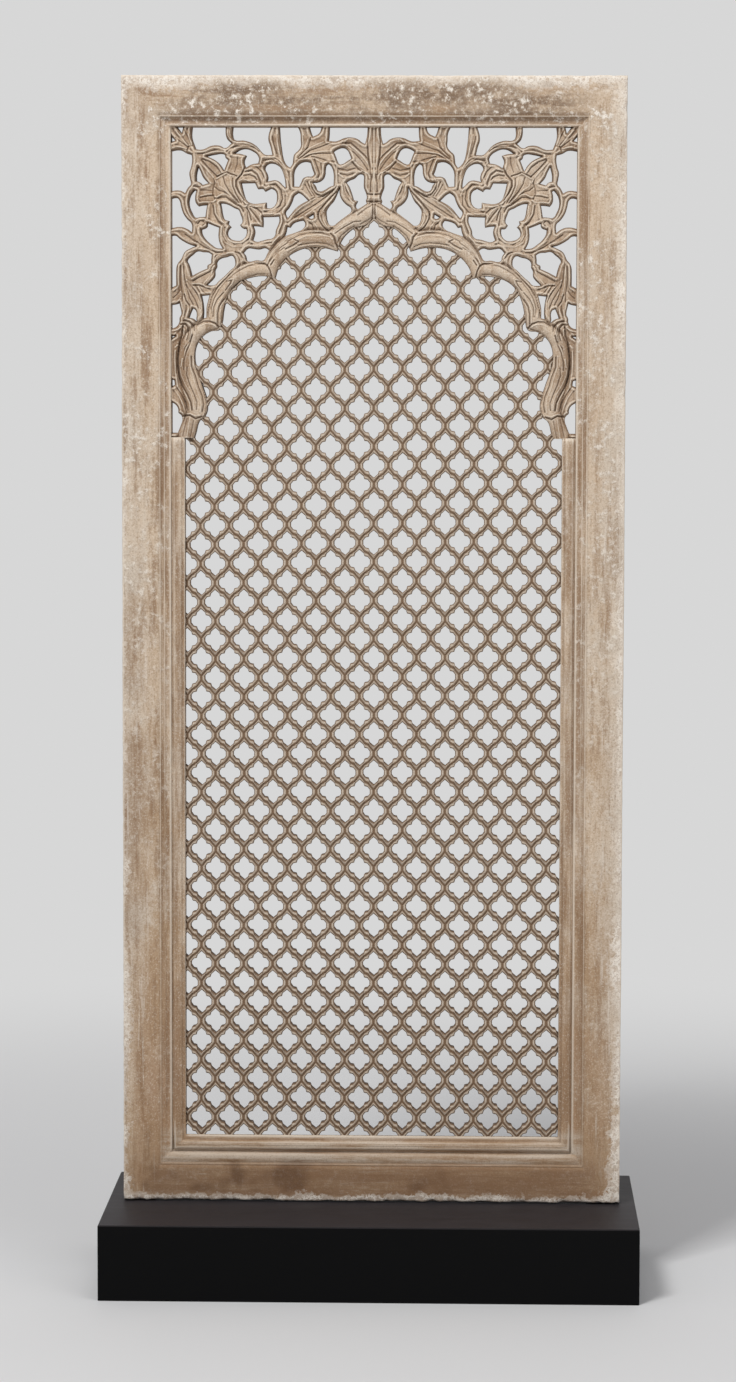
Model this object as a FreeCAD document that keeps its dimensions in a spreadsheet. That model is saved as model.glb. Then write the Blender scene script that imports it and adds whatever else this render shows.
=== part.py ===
import FreeCAD, Part
import math
import os
import re
import Sketcher
from FreeCAD import Vector

# A carved stone screen (jali) bedded on a low painted plinth. All sizes are in millimetres.
# X runs along the screen, Y from its front to its back, Z up. The origin is on the floor
# under the middle of the plinth.
doc = FreeCAD.newDocument("jali_screen")
sheet = doc.addObject("Spreadsheet::Sheet", "sizes")

SIZES = {
    # the block of stone and its border
    "slab_width": 800,
    "slab_height": 1800,
    "slab_thickness": 50,
    "border_side": 80,
    "border_top": 83,
    "border_foot": 80,
    "moulding_width": 19,
    "quirk_depth": 3,
    "relief_depth": 12,
    "nosing_radius": 8,
    "lattice_thickness": 25,
    "back_chamfer": 9,
    # the band that frames the lattice and rises into the arch
    "spring_level": 1232,
    "groove_width": 3,
    "shaft_width": 19,
    "foot_band_width": 24,
    "band_rise": 8,
    "band_chamfer": 5,
    "band_root": 5,
    # the pierced lattice
    "row_pitch": 61.5,
    "bar_width": 10,
    "cut_inset": 1.5,
    "ground_lap": 4,
    "cut_overrun": 2,
    # the plinth
    "plinth_margin": 25,
    "plinth_reach": 186,
    "plinth_height": 120,
    "board": 18,
    "arris": 1.6,
    "spine_gap": 54,
    "rib_inset": 150,
    "block_side": 40,
    "block_height": 80,
    # the bedding and the steel dowels
    "pad_thickness": 2,
    "pad_setback": 6,
    "dowel_inset": 40,
    "dowel_side": 14,
    "dowel_embed": 110,
    "mortise_play": 0.3,
    "mortise_spare": 4,
    "tie_end": 30,
    "tie_breadth": 50,
    "tie_thickness": 8,
    "cleat_length": 60,
    "cleat_height": 40,
}
for row, (alias, value) in enumerate(SIZES.items(), start=1):
    sheet.set(f"A{row}", alias)
    sheet.set(f"B{row}", str(value))
    sheet.setAlias(f"B{row}", alias)
doc.recompute()
size = {alias: float(sheet.get(alias)) for alias in SIZES}

LATTICE_COLUMNS = 13
LEAST_OPENING_SHARE = 0.25
STRIP_DIAGONALS = 3
FLATNESS = 0.001
MORTISE_SIDE = "(dowel_side + 2 * mortise_play)"
DOWEL_OFFSET = "(slab_width / 2 - dowel_inset)"
PLINTH_WIDTH = "(slab_width + 2 * plinth_margin)"
PLINTH_DEPTH = "(slab_thickness + 2 * plinth_reach)"


def bind(target, prop, formula):
    """Bind a property to a formula of the sheet's names."""
    words = re.sub(r"[a-z_]+", lambda word: "sizes." + word.group() if word.group() in SIZES
                   else word.group(), formula)
    target.setExpression(prop, words)


def place(target, x="", y="", z=""):
    """Bind the place of an object's own origin."""
    for axis, formula in (("x", x), ("y", y), ("z", z)):
        if formula:
            bind(target, f"Placement.Base.{axis}", formula)


def box(name, length, width, height, x, y, z):
    """A box whose lowest corner is at x, y, z."""
    block = doc.addObject("Part::Box", name)
    bind(block, "Length", length)
    bind(block, "Width", width)
    bind(block, "Height", height)
    place(block, x, y, z)
    return block


def cut(name, base, tool):
    """The base with the tool taken out of it."""
    result = doc.addObject("Part::Cut", name)
    result.Base = base
    result.Tool = tool
    result.Refine = False
    return result


def group(name, members):
    """Several like pieces kept as separate solids of one sub-part."""
    together = doc.addObject("Part::Compound", name)
    together.Links = members
    return together


def add_sketch(body, name, role, offset=""):
    """A sketch on one of the body's own origin planes, moved along its normal."""
    sketch = body.newObject("Sketcher::SketchObject", name)
    plane = next(feature for feature in body.Origin.OriginFeatures if feature.Role == role)
    sketch.AttachmentSupport = [(plane, "")]
    sketch.MapMode = "FlatFace"
    if offset:
        bind(sketch, "AttachmentOffset.Base.z", offset)
    return sketch


def draw_rectangle(sketch, width, low, high):
    """A rectangle that is symmetric about the sketch's upright axis."""
    corners = [Vector(-1, 1, 0), Vector(1, 1, 0), Vector(1, 2, 0), Vector(-1, 2, 0)]
    for number in range(4):
        sketch.addGeometry(Part.LineSegment(corners[number], corners[(number + 1) % 4]), False)
    for number in range(4):
        sketch.addConstraint(Sketcher.Constraint("Coincident", number, 2, (number + 1) % 4, 1))
    sketch.addConstraint(Sketcher.Constraint("Horizontal", 2))
    for upright in (1, 3):
        sketch.addConstraint(Sketcher.Constraint("Vertical", upright))
    sketch.addConstraint(Sketcher.Constraint("Symmetric", 0, 1, 0, 2, -2))
    for name, first, point, second, end, kind, formula in (
            ("width", 0, 1, 0, 2, "DistanceX", width),
            ("low", -1, 1, 0, 1, "DistanceY", low),
            ("high", -1, 1, 2, 1, "DistanceY", high)):
        index = sketch.addConstraint(Sketcher.Constraint(kind, first, point, second, end, 1.0))
        sketch.renameConstraint(index, name)
        bind(sketch, f"Constraints.{name}", formula)


def pocket(body, name, sketch, depth, reverse=False):
    """Take the sketch out of the body to a depth."""
    feature = body.newObject("PartDesign::Pocket", name)
    feature.Profile = sketch
    feature.Reversed = reverse
    bind(feature, "Length", depth)
    return feature


def edges_at(shape, level, half_width):
    """Names of the edges that lie on a plane across Y, no further out than half_width."""
    names = []
    for number, edge in enumerate(shape.Edges, start=1):
        extent = edge.BoundBox
        off_plane = max(abs(extent.YMin - level), abs(extent.YMax - level))
        reach = max(abs(extent.XMin), abs(extent.XMax))
        if off_plane < FLATNESS and reach < half_width + FLATNESS:
            names.append(f"Edge{number}")
    return names


def mortises(name, depth, level):
    """A pair of square mortises for the dowels, to be cut out of what they pass."""
    pair = [box(f"{name}_{side}", MORTISE_SIDE, MORTISE_SIDE, depth,
                f"{middle} - {MORTISE_SIDE} / 2", f"-{MORTISE_SIDE} / 2", level)
            for side, middle in (("left", f"-{DOWEL_OFFSET}"), ("right", DOWEL_OFFSET))]
    return group(name, pair)


# The border of the block: moulded on the front, chamfered on the back, with two mortises for
# dowels in its foot.
front_face = -size["slab_thickness"] / 2
back_face = size["slab_thickness"] / 2
lattice_front = front_face + size["relief_depth"]
half_opening = size["slab_width"] / 2 - size["border_side"]

blank = doc.addObject("PartDesign::Body", "slab_blank")
outline = add_sketch(blank, "slab_outline", "XZ_Plane")
draw_rectangle(outline, "slab_width", "0", "slab_height")
pad = blank.newObject("PartDesign::Pad", "slab_pad")
pad.Profile = outline
pad.SideType = "Symmetric"
bind(pad, "Length", "slab_thickness")

quirk_sketch = add_sketch(blank, "quirk_outline", "XZ_Plane", "slab_thickness / 2")
draw_rectangle(quirk_sketch, "slab_width - 2 * border_side + 2 * moulding_width",
               "border_foot - moulding_width", "slab_height - border_top + moulding_width")
pocket(blank, "quirk", quirk_sketch, "quirk_depth")

window_sketch = add_sketch(blank, "window_outline", "XZ_Plane", "slab_thickness / 2")
draw_rectangle(window_sketch, "slab_width - 2 * border_side", "border_foot",
               "slab_height - border_top")
window = pocket(blank, "window", window_sketch, "slab_thickness")
doc.recompute()

nosing = blank.newObject("PartDesign::Fillet", "nosing")
nosing.Base = (window, edges_at(window.Shape, front_face + size["quirk_depth"], half_opening))
bind(nosing, "Radius", "nosing_radius")
doc.recompute()

back_edge = blank.newObject("PartDesign::Chamfer", "back_edge")
back_edge.Base = (nosing, edges_at(nosing.Shape, back_face, half_opening))
bind(back_edge, "Size", "back_chamfer")

blank.Tip = back_edge
border = cut("border", blank, mortises("foot_mortise", "dowel_embed + mortise_spare", "0"))
doc.recompute()

# The arch. Its outlines run from the springing up to the apex, in shares of half the moulded
# opening's width and of its height above the springing. One point ends a straight run, two
# points are an arc's middle and end. The field is where the lattice lies, and the crest is the
# upper outer edge of the band round it.
ARC_CHORDS = 3
FIELD_SHARES = [
    [(0.884, -0.012)],
    [(0.866, 0.047)],
    [(0.826, 0.100), (0.850, 0.161)],
    [(0.888, 0.255), (0.853, 0.322)],
    [(0.766, 0.344)],
    [(0.747, 0.408), (0.703, 0.480)],
    [(0.616, 0.513), (0.490, 0.509)],
    [(0.472, 0.548), (0.438, 0.573)],
    [(0.330, 0.613), (0.181, 0.602)],
    [(0.156, 0.640), (0.094, 0.676)],
    [(0.000, 0.703)],
]
CREST_SHARES = [
    [(0.958, 0.004)],
    [(0.929, 0.046)],
    [(0.919, 0.110), (0.953, 0.205)],
    [(0.949, 0.282), (0.878, 0.349)],
    [(0.818, 0.378)],
    [(0.793, 0.445), (0.724, 0.500)],
    [(0.645, 0.547), (0.538, 0.557)],
    [(0.497, 0.598), (0.430, 0.640)],
    [(0.330, 0.658), (0.216, 0.657)],
    [(0.158, 0.687), (0.087, 0.719)],
    [(0.034, 0.742)],
    [(0.000, 0.750)],
]

spring_level = size["spring_level"]
opening_top = size["slab_height"] - size["border_top"]
arch_rise = opening_top - spring_level
shaft_outer = half_opening - size["groove_width"]
shaft_inner = shaft_outer - size["shaft_width"]
foot_outer = size["border_foot"] + size["groove_width"]
foot_inner = foot_outer + size["foot_band_width"]
worked = size["band_chamfer"]
overrun = size["cut_overrun"]


def from_shares(share):
    """A point on the right of the middle plane, from its shares."""
    return Vector(share[0] * half_opening, 0, spring_level + share[1] * arch_rise)


def arched_face(shares, half_width, foot):
    """A flat face in the middle plane, straight below the springing and cusped above it."""
    right = [Vector(half_width, 0, foot), Vector(half_width, 0, from_shares(shares[0][-1]).z)]
    for run in shares:
        points = [from_shares(share) for share in run]
        if len(points) == 2:
            arc = Part.Arc(right[-1], points[0], points[1]).toShape()
            right += arc.discretize(Number=ARC_CHORDS + 1)[1:]
        else:
            right += points
    left = [Vector(-point.x, 0, point.z) for point in reversed(right[:-1])]
    return Part.Face(Part.makePolygon(right + left + right[:1]))


def at_depth(shape, y):
    """A copy of a shape moved along Y."""
    moved = shape.copy()
    moved.translate(Vector(0, y, 0))
    return moved


def slope(low, low_y, high, high_y):
    """A solid that tapers straight from one outline to another."""
    wires = [at_depth(low.OuterWire, low_y), at_depth(high.OuterWire, high_y)]
    return Part.makeLoft(wires, True, True)


# The band stands up from the sunk ground, rooted in it, with both its edges worked off.
field = arched_face(FIELD_SHARES, shaft_inner, foot_inner)
crest = arched_face(CREST_SHARES, shaft_outer - worked, foot_outer + worked)
band_foot = crest.makeOffset2D(worked, 2)
field_crest = field.makeOffset2D(worked + overrun, 2)
root_y = lattice_front + size["band_root"]
top_y = lattice_front - size["band_rise"]
edge_y = top_y + worked
mass = at_depth(band_foot, root_y).extrude(Vector(0, edge_y - root_y, 0))
mass = mass.fuse(slope(band_foot, edge_y, crest, top_y))
hollow = at_depth(field, root_y + overrun).extrude(Vector(0, edge_y - root_y - overrun, 0))
hollow = hollow.fuse(slope(field, edge_y, field_crest, top_y - overrun))
band = doc.addObject("Part::Feature", "arch_band")
band.Shape = mass.cut(hollow)

# The lattice: upright rows of openings whose bars cross on the slant. Every second row is moved
# half a column aside. The openings at the rim keep what the band leaves of them.
half_column = shaft_inner / LATTICE_COLUMNS
half_row = size["row_pitch"] / 2
bar_share = size["bar_width"] / 2 * math.hypot(half_column, half_row) / (half_column * half_row)
half_wide = half_column * (1 - bar_share)
half_high = half_row * (1 - bar_share)
least_area = LEAST_OPENING_SHARE * 2 * half_wide * half_high
apex_level = from_shares(FIELD_SHARES[-1][-1]).z
neck_level = from_shares(FIELD_SHARES[0][-1]).z
row_count = math.ceil((apex_level - foot_inner) / half_row)
room = field.makeOffset2D(-size["cut_inset"], 0)
ground = field.makeOffset2D(size["ground_lap"], 2)


def lattice_point(column, row):
    """A place in the lattice, counted in half columns from the middle and half rows up."""
    return Vector(column * half_column, 0, foot_inner + row * half_row)


def opening_wire(column, row):
    """The rim of one whole opening about its centre."""
    centre = lattice_point(column, row)
    corners = [centre + Vector(0, 0, -half_high), centre + Vector(half_wide, 0, 0),
               centre + Vector(0, 0, half_high), centre + Vector(-half_wide, 0, 0)]
    return Part.makePolygon(corners + corners[:1])


def is_whole(column, row):
    """Whether an opening lies clear of the field's edge, in its straight part."""
    return row > 0 and abs(column) < LATTICE_COLUMNS and (
        lattice_point(column, row).z + half_high < neck_level)


def strip(low, high):
    """The faces of the lattice between two slanted lines that follow the middles of bars."""
    reach = LATTICE_COLUMNS + 1
    corners = [lattice_point(-reach, low + reach), lattice_point(reach, low - reach),
               lattice_point(reach, high - reach), lattice_point(-reach, high + reach)]
    plate = Part.Face(Part.makePolygon(corners + corners[:1])).common(ground)
    wires = [face.OuterWire for face in plate.Faces]
    edge = []
    for row in range(row_count):
        for column in range(row % 2 - LATTICE_COLUMNS, LATTICE_COLUMNS + 1, 2):
            if low < column + row < high:
                rim = opening_wire(column, row)
                if is_whole(column, row):
                    wires.append(rim)
                else:
                    edge.append(Part.Face(rim))
    if edge:
        cut_back = Part.makeCompound(edge).common(room)
        wires += [face.OuterWire for face in cut_back.Faces if face.Area > least_area]
    return Part.makeFace(wires, "Part::FaceMakerBullseye").Faces if wires else []


plate_y = lattice_front
plate_depth = Vector(0, size["lattice_thickness"], 0)
lines = list(range(-LATTICE_COLUMNS - 1, LATTICE_COLUMNS + row_count, 2 * STRIP_DIAGONALS))
solids = []
for low, high in zip(lines, lines[1:] + [LATTICE_COLUMNS + row_count + 1]):
    solids += [at_depth(face, plate_y).extrude(plate_depth) for face in strip(low, high)]
lattice = doc.addObject("Part::Feature", "lattice")
lattice.Shape = solids[0].multiFuse(solids[1:])

# The gaps of the pierced foliage over the arch, on the right of the middle; the left mirrors them.
FOLIAGE_SHARES = [
    [(0.900, 0.996), (0.880, 0.932), (0.765, 0.943), (0.706, 0.951), (0.735, 0.996)],
    [(0.698, 0.996), (0.697, 0.962), (0.600, 0.950), (0.545, 0.915), (0.503, 0.914), (0.520, 0.996)],
    [(0.693, 0.920), (0.650, 0.934), (0.573, 0.910), (0.573, 0.887), (0.635, 0.873), (0.632, 0.912)],
    [(0.828, 0.910), (0.750, 0.918), (0.722, 0.897), (0.743, 0.863)],
    [(0.871, 0.876), (0.820, 0.822), (0.882, 0.824)],
    [(0.998, 0.926), (0.903, 0.915), (0.910, 0.818), (0.936, 0.790), (0.998, 0.795)],
    [(0.998, 0.770), (0.965, 0.768), (0.903, 0.690), (0.910, 0.666), (0.998, 0.674)],
    [(0.890, 0.800), (0.826, 0.752), (0.835, 0.711), (0.885, 0.711), (0.916, 0.752)],
    [(0.825, 0.692), (0.767, 0.677), (0.750, 0.611), (0.815, 0.627), (0.857, 0.668)],
    [(0.760, 0.757), (0.700, 0.745), (0.652, 0.700), (0.632, 0.660), (0.685, 0.635), (0.724, 0.655),
     (0.722, 0.702)],
    [(0.657, 0.823), (0.590, 0.824), (0.560, 0.804), (0.495, 0.804), (0.488, 0.752), (0.632, 0.766)],
    [(0.598, 0.684), (0.600, 0.637), (0.505, 0.645), (0.468, 0.702), (0.550, 0.713)],
    [(0.645, 0.598), (0.520, 0.608), (0.545, 0.577), (0.625, 0.577)],
    [(0.705, 0.586), (0.770, 0.575), (0.800, 0.505), (0.725, 0.537), (0.690, 0.560)],
    [(0.875, 0.601), (0.806, 0.592), (0.810, 0.560), (0.903, 0.520), (0.927, 0.575)],
    [(0.985, 0.652), (0.884, 0.618), (0.970, 0.563), (0.980, 0.490), (0.998, 0.480)],
    [(0.998, 0.425), (0.965, 0.433), (0.956, 0.390), (0.998, 0.348)],
    [(0.900, 0.415), (0.883, 0.375), (0.917, 0.386)],
    [(0.855, 0.455), (0.826, 0.458), (0.837, 0.390), (0.848, 0.392)],
    [(0.996, 0.112), (0.951, 0.055), (0.973, 0.014), (0.997, 0.012)],
    [(0.468, 0.996), (0.380, 0.996), (0.363, 0.940), (0.398, 0.910), (0.413, 0.873), (0.447, 0.905)],
    [(0.320, 0.997), (0.258, 0.997), (0.302, 0.973)],
    [(0.220, 0.996), (0.032, 0.996), (0.045, 0.952), (0.115, 0.971), (0.222, 0.961)],
    [(0.200, 0.926), (0.145, 0.938), (0.113, 0.902), (0.165, 0.884)],
    [(0.228, 0.886), (0.203, 0.818), (0.265, 0.797), (0.303, 0.825), (0.250, 0.838)],
    [(0.320, 0.890), (0.370, 0.886), (0.399, 0.845), (0.385, 0.811), (0.345, 0.842), (0.295, 0.852)],
    [(0.510, 0.884), (0.460, 0.870), (0.440, 0.810), (0.528, 0.829)],
    [(0.372, 0.792), (0.328, 0.766), (0.427, 0.711), (0.438, 0.728)],
    [(0.320, 0.705), (0.430, 0.681), (0.440, 0.675), (0.345, 0.678)],
    [(0.172, 0.808), (0.116, 0.740), (0.196, 0.701), (0.228, 0.701), (0.237, 0.733)],
    [(0.137, 0.826), (0.060, 0.852), (0.035, 0.765), (0.080, 0.745), (0.100, 0.768)],
]
corners = [Vector(half_opening, 0, size["border_foot"]), Vector(half_opening, 0, opening_top),
           Vector(-half_opening, 0, opening_top), Vector(-half_opening, 0, size["border_foot"])]
rims = [Part.makePolygon(corners + corners[:1]), ground.OuterWire]
for gap in FOLIAGE_SHARES:
    right = [from_shares(share) for share in gap]
    left = [Vector(-point.x, 0, point.z) for point in right]
    rims += [Part.makePolygon(side + side[:1]) for side in (left, right)]
foliage = doc.addObject("Part::Feature", "foliage")
foliage_face = Part.makeFace(rims, "Part::FaceMakerBullseye")
foliage.Shape = at_depth(foliage_face, plate_y).extrude(plate_depth)

slab = doc.addObject("Part::MultiFuse", "jali_slab")
slab.Shapes = [border, foliage, lattice, band]
slab.Refine = False
place(slab, z="plinth_height + pad_thickness")

# The plinth boards. Each is mitred where it meets another, and its outer arris is eased.

def mitred_board(name, width, low, high, low_mitred):
    """A board drawn on its outer face, symmetric in width, that tapers to its inner face."""
    body = doc.addObject("PartDesign::Body", name)
    sections = []
    for number, (depth, inset) in enumerate((("0", "arris"), ("arris / 2", "arris / 2"),
                                             ("board", "board"))):
        section = add_sketch(body, f"{name}_section_{number}", "XY_Plane", depth)
        foot = f"{low} + {inset}" if low_mitred else low
        draw_rectangle(section, f"{width} - 2 * ({inset})", foot, f"{high} - ({inset})")
        sections.append(section)
    loft = body.newObject("PartDesign::AdditiveLoft", f"{name}_loft")
    loft.Profile = sections[0]
    loft.Sections = sections[1:]
    loft.Ruled = True
    body.Tip = loft
    return body


def turn(body, x_axis, y_axis, z_axis):
    """Turn a body so that its own axes point the given ways."""
    body.Placement = FreeCAD.Placement(Vector(), FreeCAD.Rotation(x_axis, y_axis, z_axis, "ZXY"))


X = Vector(1, 0, 0)
Y = Vector(0, 1, 0)
Z = Vector(0, 0, 1)

front = mitred_board("plinth_front", PLINTH_WIDTH, "0", "plinth_height", False)
turn(front, -X, Z, Y)
place(front, y=f"-{PLINTH_DEPTH} / 2")
back = mitred_board("plinth_back", PLINTH_WIDTH, "0", "plinth_height", False)
turn(back, X, Z, -Y)
place(back, y=f"{PLINTH_DEPTH} / 2")
left = mitred_board("plinth_left", PLINTH_DEPTH, "0", "plinth_height", False)
turn(left, Y, Z, X)
place(left, x=f"-{PLINTH_WIDTH} / 2")
right = mitred_board("plinth_right", PLINTH_DEPTH, "0", "plinth_height", False)
turn(right, -Y, Z, -X)
place(right, x=f"{PLINTH_WIDTH} / 2")

top = mitred_board("top_board", PLINTH_WIDTH, f"-{PLINTH_DEPTH} / 2", f"{PLINTH_DEPTH} / 2", True)
turn(top, X, -Y, -Z)
place(top, z="plinth_height")
cut("plinth_top", top, mortises("top_mortise", "board", "plinth_height - board"))

# Inside the plinth: two boards on edge under the stone, ribs that steady them and glue blocks.
inner_height = "plinth_height - board"
inner_left = f"board - {PLINTH_WIDTH} / 2"
inner_front = f"board - {PLINTH_DEPTH} / 2"
spine_length = f"{PLINTH_WIDTH} - 2 * board"
box("spine_front", spine_length, "board", inner_height,
    inner_left, "-spine_gap / 2 - board", "0")
box("spine_back", spine_length, "board", inner_height, inner_left, "spine_gap / 2", "0")
rib_length = f"{PLINTH_DEPTH} / 2 - 2 * board - spine_gap / 2"
rib_offset = f"({DOWEL_OFFSET} - rib_inset)"
for side, x in (("left", f"-{rib_offset} - board / 2"), ("right", f"{rib_offset} - board / 2")):
    box(f"rib_front_{side}", "board", rib_length, inner_height, x, inner_front, "0")
    box(f"rib_back_{side}", "board", rib_length, inner_height, x, "spine_gap / 2 + board", "0")
for side, x in (("left", inner_left), ("right", f"{PLINTH_WIDTH} / 2 - board - block_side")):
    for face, y in (("front", inner_front), ("back", f"{PLINTH_DEPTH} / 2 - board - block_side")):
        box(f"corner_block_{face}_{side}", "block_side", "block_side", "block_height",
            x, y, "plinth_height - board - block_height")

# The stone is bedded on a sheet and held upright by two square dowels. They are welded to a
# steel bar under the top board, which two cleats between the spines keep up.
sheet_half = f"({DOWEL_OFFSET} - {MORTISE_SIDE} / 2 - pad_setback)"
box("bedding_sheet", f"2 * {sheet_half}", "slab_thickness - 2 * pad_setback", "pad_thickness",
    f"-{sheet_half}", "pad_setback - slab_thickness / 2", "plinth_height")
bar_level = "plinth_height - board - tie_thickness"
tie_half = f"({DOWEL_OFFSET} + tie_end)"
box("tie_bar", f"2 * {tie_half}", "tie_breadth", "tie_thickness",
    f"-{tie_half}", "-tie_breadth / 2", bar_level)
for side, middle in (("left", f"-{DOWEL_OFFSET}"), ("right", DOWEL_OFFSET)):
    box(f"dowel_{side}", "dowel_side", "dowel_side", "board + pad_thickness + dowel_embed",
        f"{middle} - dowel_side / 2", "-dowel_side / 2", "plinth_height - board")
    box(f"tie_cleat_{side}", "cleat_length", "spine_gap", "cleat_height",
        f"{middle} - cleat_length / 2", "-spine_gap / 2", f"{bar_level} - cleat_height")

NODES = [
    "jali_slab", "bedding_sheet", "dowel_left", "dowel_right", "tie_bar", "tie_cleat_left",
    "tie_cleat_right", "plinth_top", "plinth_front", "plinth_back", "plinth_left", "plinth_right",
    "spine_front", "spine_back", "rib_front_left", "rib_front_right", "rib_back_left",
    "rib_back_right", "corner_block_front_left", "corner_block_front_right",
    "corner_block_back_left", "corner_block_back_right",
]

doc.recompute()
for part in doc.Objects:
    if "Invalid" in part.State or "Error" in part.State:
        raise RuntimeError(f"{part.Name} failed: {part.State}")
sub_parts = [doc.getObject(name) for name in NODES]
for part in sub_parts:
    part.Label = part.Name
    if part.Shape.isNull() or not part.Shape.isValid() or not part.Shape.Solids:
        raise RuntimeError(f"{part.Name} has no valid solid")

os.makedirs("parts", exist_ok=True)
for part in sub_parts:
    part.Shape.exportStep(f"parts/{part.Label}.step")
    print(part.Label, len(part.Shape.Solids), round(part.Shape.Volume))
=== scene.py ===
import math

import bmesh
import bpy
import numpy as np
from mathutils import Matrix, Vector, noise
from mathutils.bvhtree import BVHTree


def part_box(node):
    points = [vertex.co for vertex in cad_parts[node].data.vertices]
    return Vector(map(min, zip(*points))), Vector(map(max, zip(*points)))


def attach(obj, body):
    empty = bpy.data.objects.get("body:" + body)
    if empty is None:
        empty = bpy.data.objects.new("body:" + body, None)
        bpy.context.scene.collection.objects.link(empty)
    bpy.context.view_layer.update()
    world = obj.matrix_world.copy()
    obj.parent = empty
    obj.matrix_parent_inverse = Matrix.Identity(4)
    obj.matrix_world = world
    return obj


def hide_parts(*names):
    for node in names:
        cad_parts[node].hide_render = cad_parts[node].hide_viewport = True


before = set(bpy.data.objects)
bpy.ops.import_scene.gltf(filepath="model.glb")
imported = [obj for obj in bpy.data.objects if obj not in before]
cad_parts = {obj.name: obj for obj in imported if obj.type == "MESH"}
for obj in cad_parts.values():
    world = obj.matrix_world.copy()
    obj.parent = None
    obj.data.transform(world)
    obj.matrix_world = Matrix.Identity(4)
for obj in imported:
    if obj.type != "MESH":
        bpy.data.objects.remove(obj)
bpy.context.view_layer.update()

# The border of the screen: one block of buff sandstone, sawn and rubbed flat, then cut with a
# fine raised line and a moulding round the opening. Its outer arrises are worn and chipped, and
# it stands with its foot on the plinth.
MM = 0.001
slab_low, slab_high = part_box("jali_slab")
slab_foot = slab_low.z
half_width = (slab_high.x - slab_low.x) / 2
slab_height = slab_high.z - slab_low.z
slab_back = slab_high.y
EDGE_STEP = 4.2 * MM
WEAR_SEED = Vector((3.1, 7.7, 1.3))
SLANT = Vector((1.0, 3.7, 13.1))
noise.seed_set(8)
# Each line of the section: its distance from the outer edge at the sides, top and foot, and how
# deep it lies behind the face there, all in millimetres.
BORDER_SECTION = (
    (1.4, 1.4, 1.6, 0.0, 0.0, 0.0),
    (4, 4, 4, 0.0, 0.0, 0.0),
    (9, 9, 8, 0.0, 0.0, 0.0),
    (14, 14, 12, 0.0, 0.0, 0.0),
    (19, 19, 16, 0.0, 0.0, 0.0),
    (24, 24, 21, 0.0, 0.0, 0.0),
    (29, 29, 26, 0.0, 0.0, 0.0),
    (34, 34, 31, 0.0, 0.0, 0.0),
    (39, 39, 36, 0.0, 0.0, 0.0),
    (44, 44, 41, 0.0, 0.0, 0.0),
    (49, 49, 46, 0.0, 0.0, 0.0),
    (54, 55, 51, 0.0, 0.0, 0.0),
    (57.8, 61.4, 56.6, 0.1, 0.1, 0.1),
    (59.0, 62.6, 57.8, 1.2, 1.6, 1.2),
    (60.2, 63.8, 59.2, 0.1, 0.1, 0.0),
    (61.4, 65.0, 60.4, 0.3, 0.4, 0.3),
    (62.4, 66.0, 61.8, 2.0, 2.6, 2.4),
    (64.4, 67.8, 63.4, 2.3, 4.6, 1.7),
    (66.2, 69.8, 66.4, 2.2, 6.2, 0.9),
    (67.2, 71.8, 69.6, 1.3, 6.8, 0.8),
    (68.4, 73.8, 73.0, 1.3, 6.4, 1.1),
    (69.8, 75.8, 75.6, 2.9, 4.8, 2.0),
    (71.4, 77.0, 77.4, 3.0, 2.2, 3.6),
    (74.6, 78.4, 78.2, 2.5, 1.8, 6.2),
    (77.4, 79.8, 79.0, 2.8, 3.0, 8.2),
    (78.6, 80.6, 79.6, 4.4, 5.6, 10.0),
)
OPENING_SIDE, OPENING_TOP, OPENING_FOOT = (value * MM for value in BORDER_SECTION[-1][:3])
INNER_DEPTHS = (12, 20, 30, 40)
BACK_CHAMFER = 8 * MM
BACK_STEPS = (70, 52, 34, 16, 1.5)
SIDE_DEPTHS = (1.5, 8, 16, 25, 34, 42, 48.6)


def scattered(place, scale):
    """Smooth noise from minus one to one, with detail down to a few millimetres."""
    return noise.fractal(place * scale + WEAR_SEED, 0.9, 2.1, 5)


def set_mesh(name, mesh_maker, smooth=True):
    """A new object from a bmesh, at the origin and unturned."""
    mesh = bpy.data.meshes.new(name)
    mesh_maker.to_mesh(mesh)
    mesh_maker.free()
    piece = bpy.data.objects.new(name, mesh)
    bpy.context.scene.collection.objects.link(piece)
    for face in mesh.polygons:
        face.use_smooth = smooth
    return piece


def finished_mesh(piece):
    """The mesh that a curve or a mesh with modifiers comes to."""
    bpy.context.view_layer.update()
    shape = piece.evaluated_get(bpy.context.evaluated_depsgraph_get())
    return bpy.data.meshes.new_from_object(shape)


def bake(piece):
    """Apply the piece's modifiers."""
    piece.data = finished_mesh(piece)
    piece.modifiers.clear()


def trimmed(piece, tool, operation):
    """The piece cut by another solid, which is then thrown away."""
    modifier = piece.modifiers.new("trim", "BOOLEAN")
    modifier.object = tool
    modifier.operation = operation
    modifier.solver = "MANIFOLD"
    bake(piece)
    bpy.data.objects.remove(tool)
    return piece


def extruded(maker, edges):
    """Extrude a line of edges: its new corners and the new edges between them."""
    made = bmesh.ops.extrude_edge_only(maker, edges=edges)["geom"]
    corners = [item for item in made if isinstance(item, bmesh.types.BMVert)]
    fresh = set(corners)
    return corners, [item for item in made if isinstance(item, bmesh.types.BMEdge)
                     and set(item.verts) <= fresh]


def put_in_order(maker):
    """Sort edges and faces along a slanting line, so that they come the same in each run."""
    maker.edges.sort(key=lambda edge: SLANT.dot(edge.verts[0].co + edge.verts[1].co))
    maker.faces.sort(key=lambda face: SLANT.dot(face.calc_center_median()))


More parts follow.
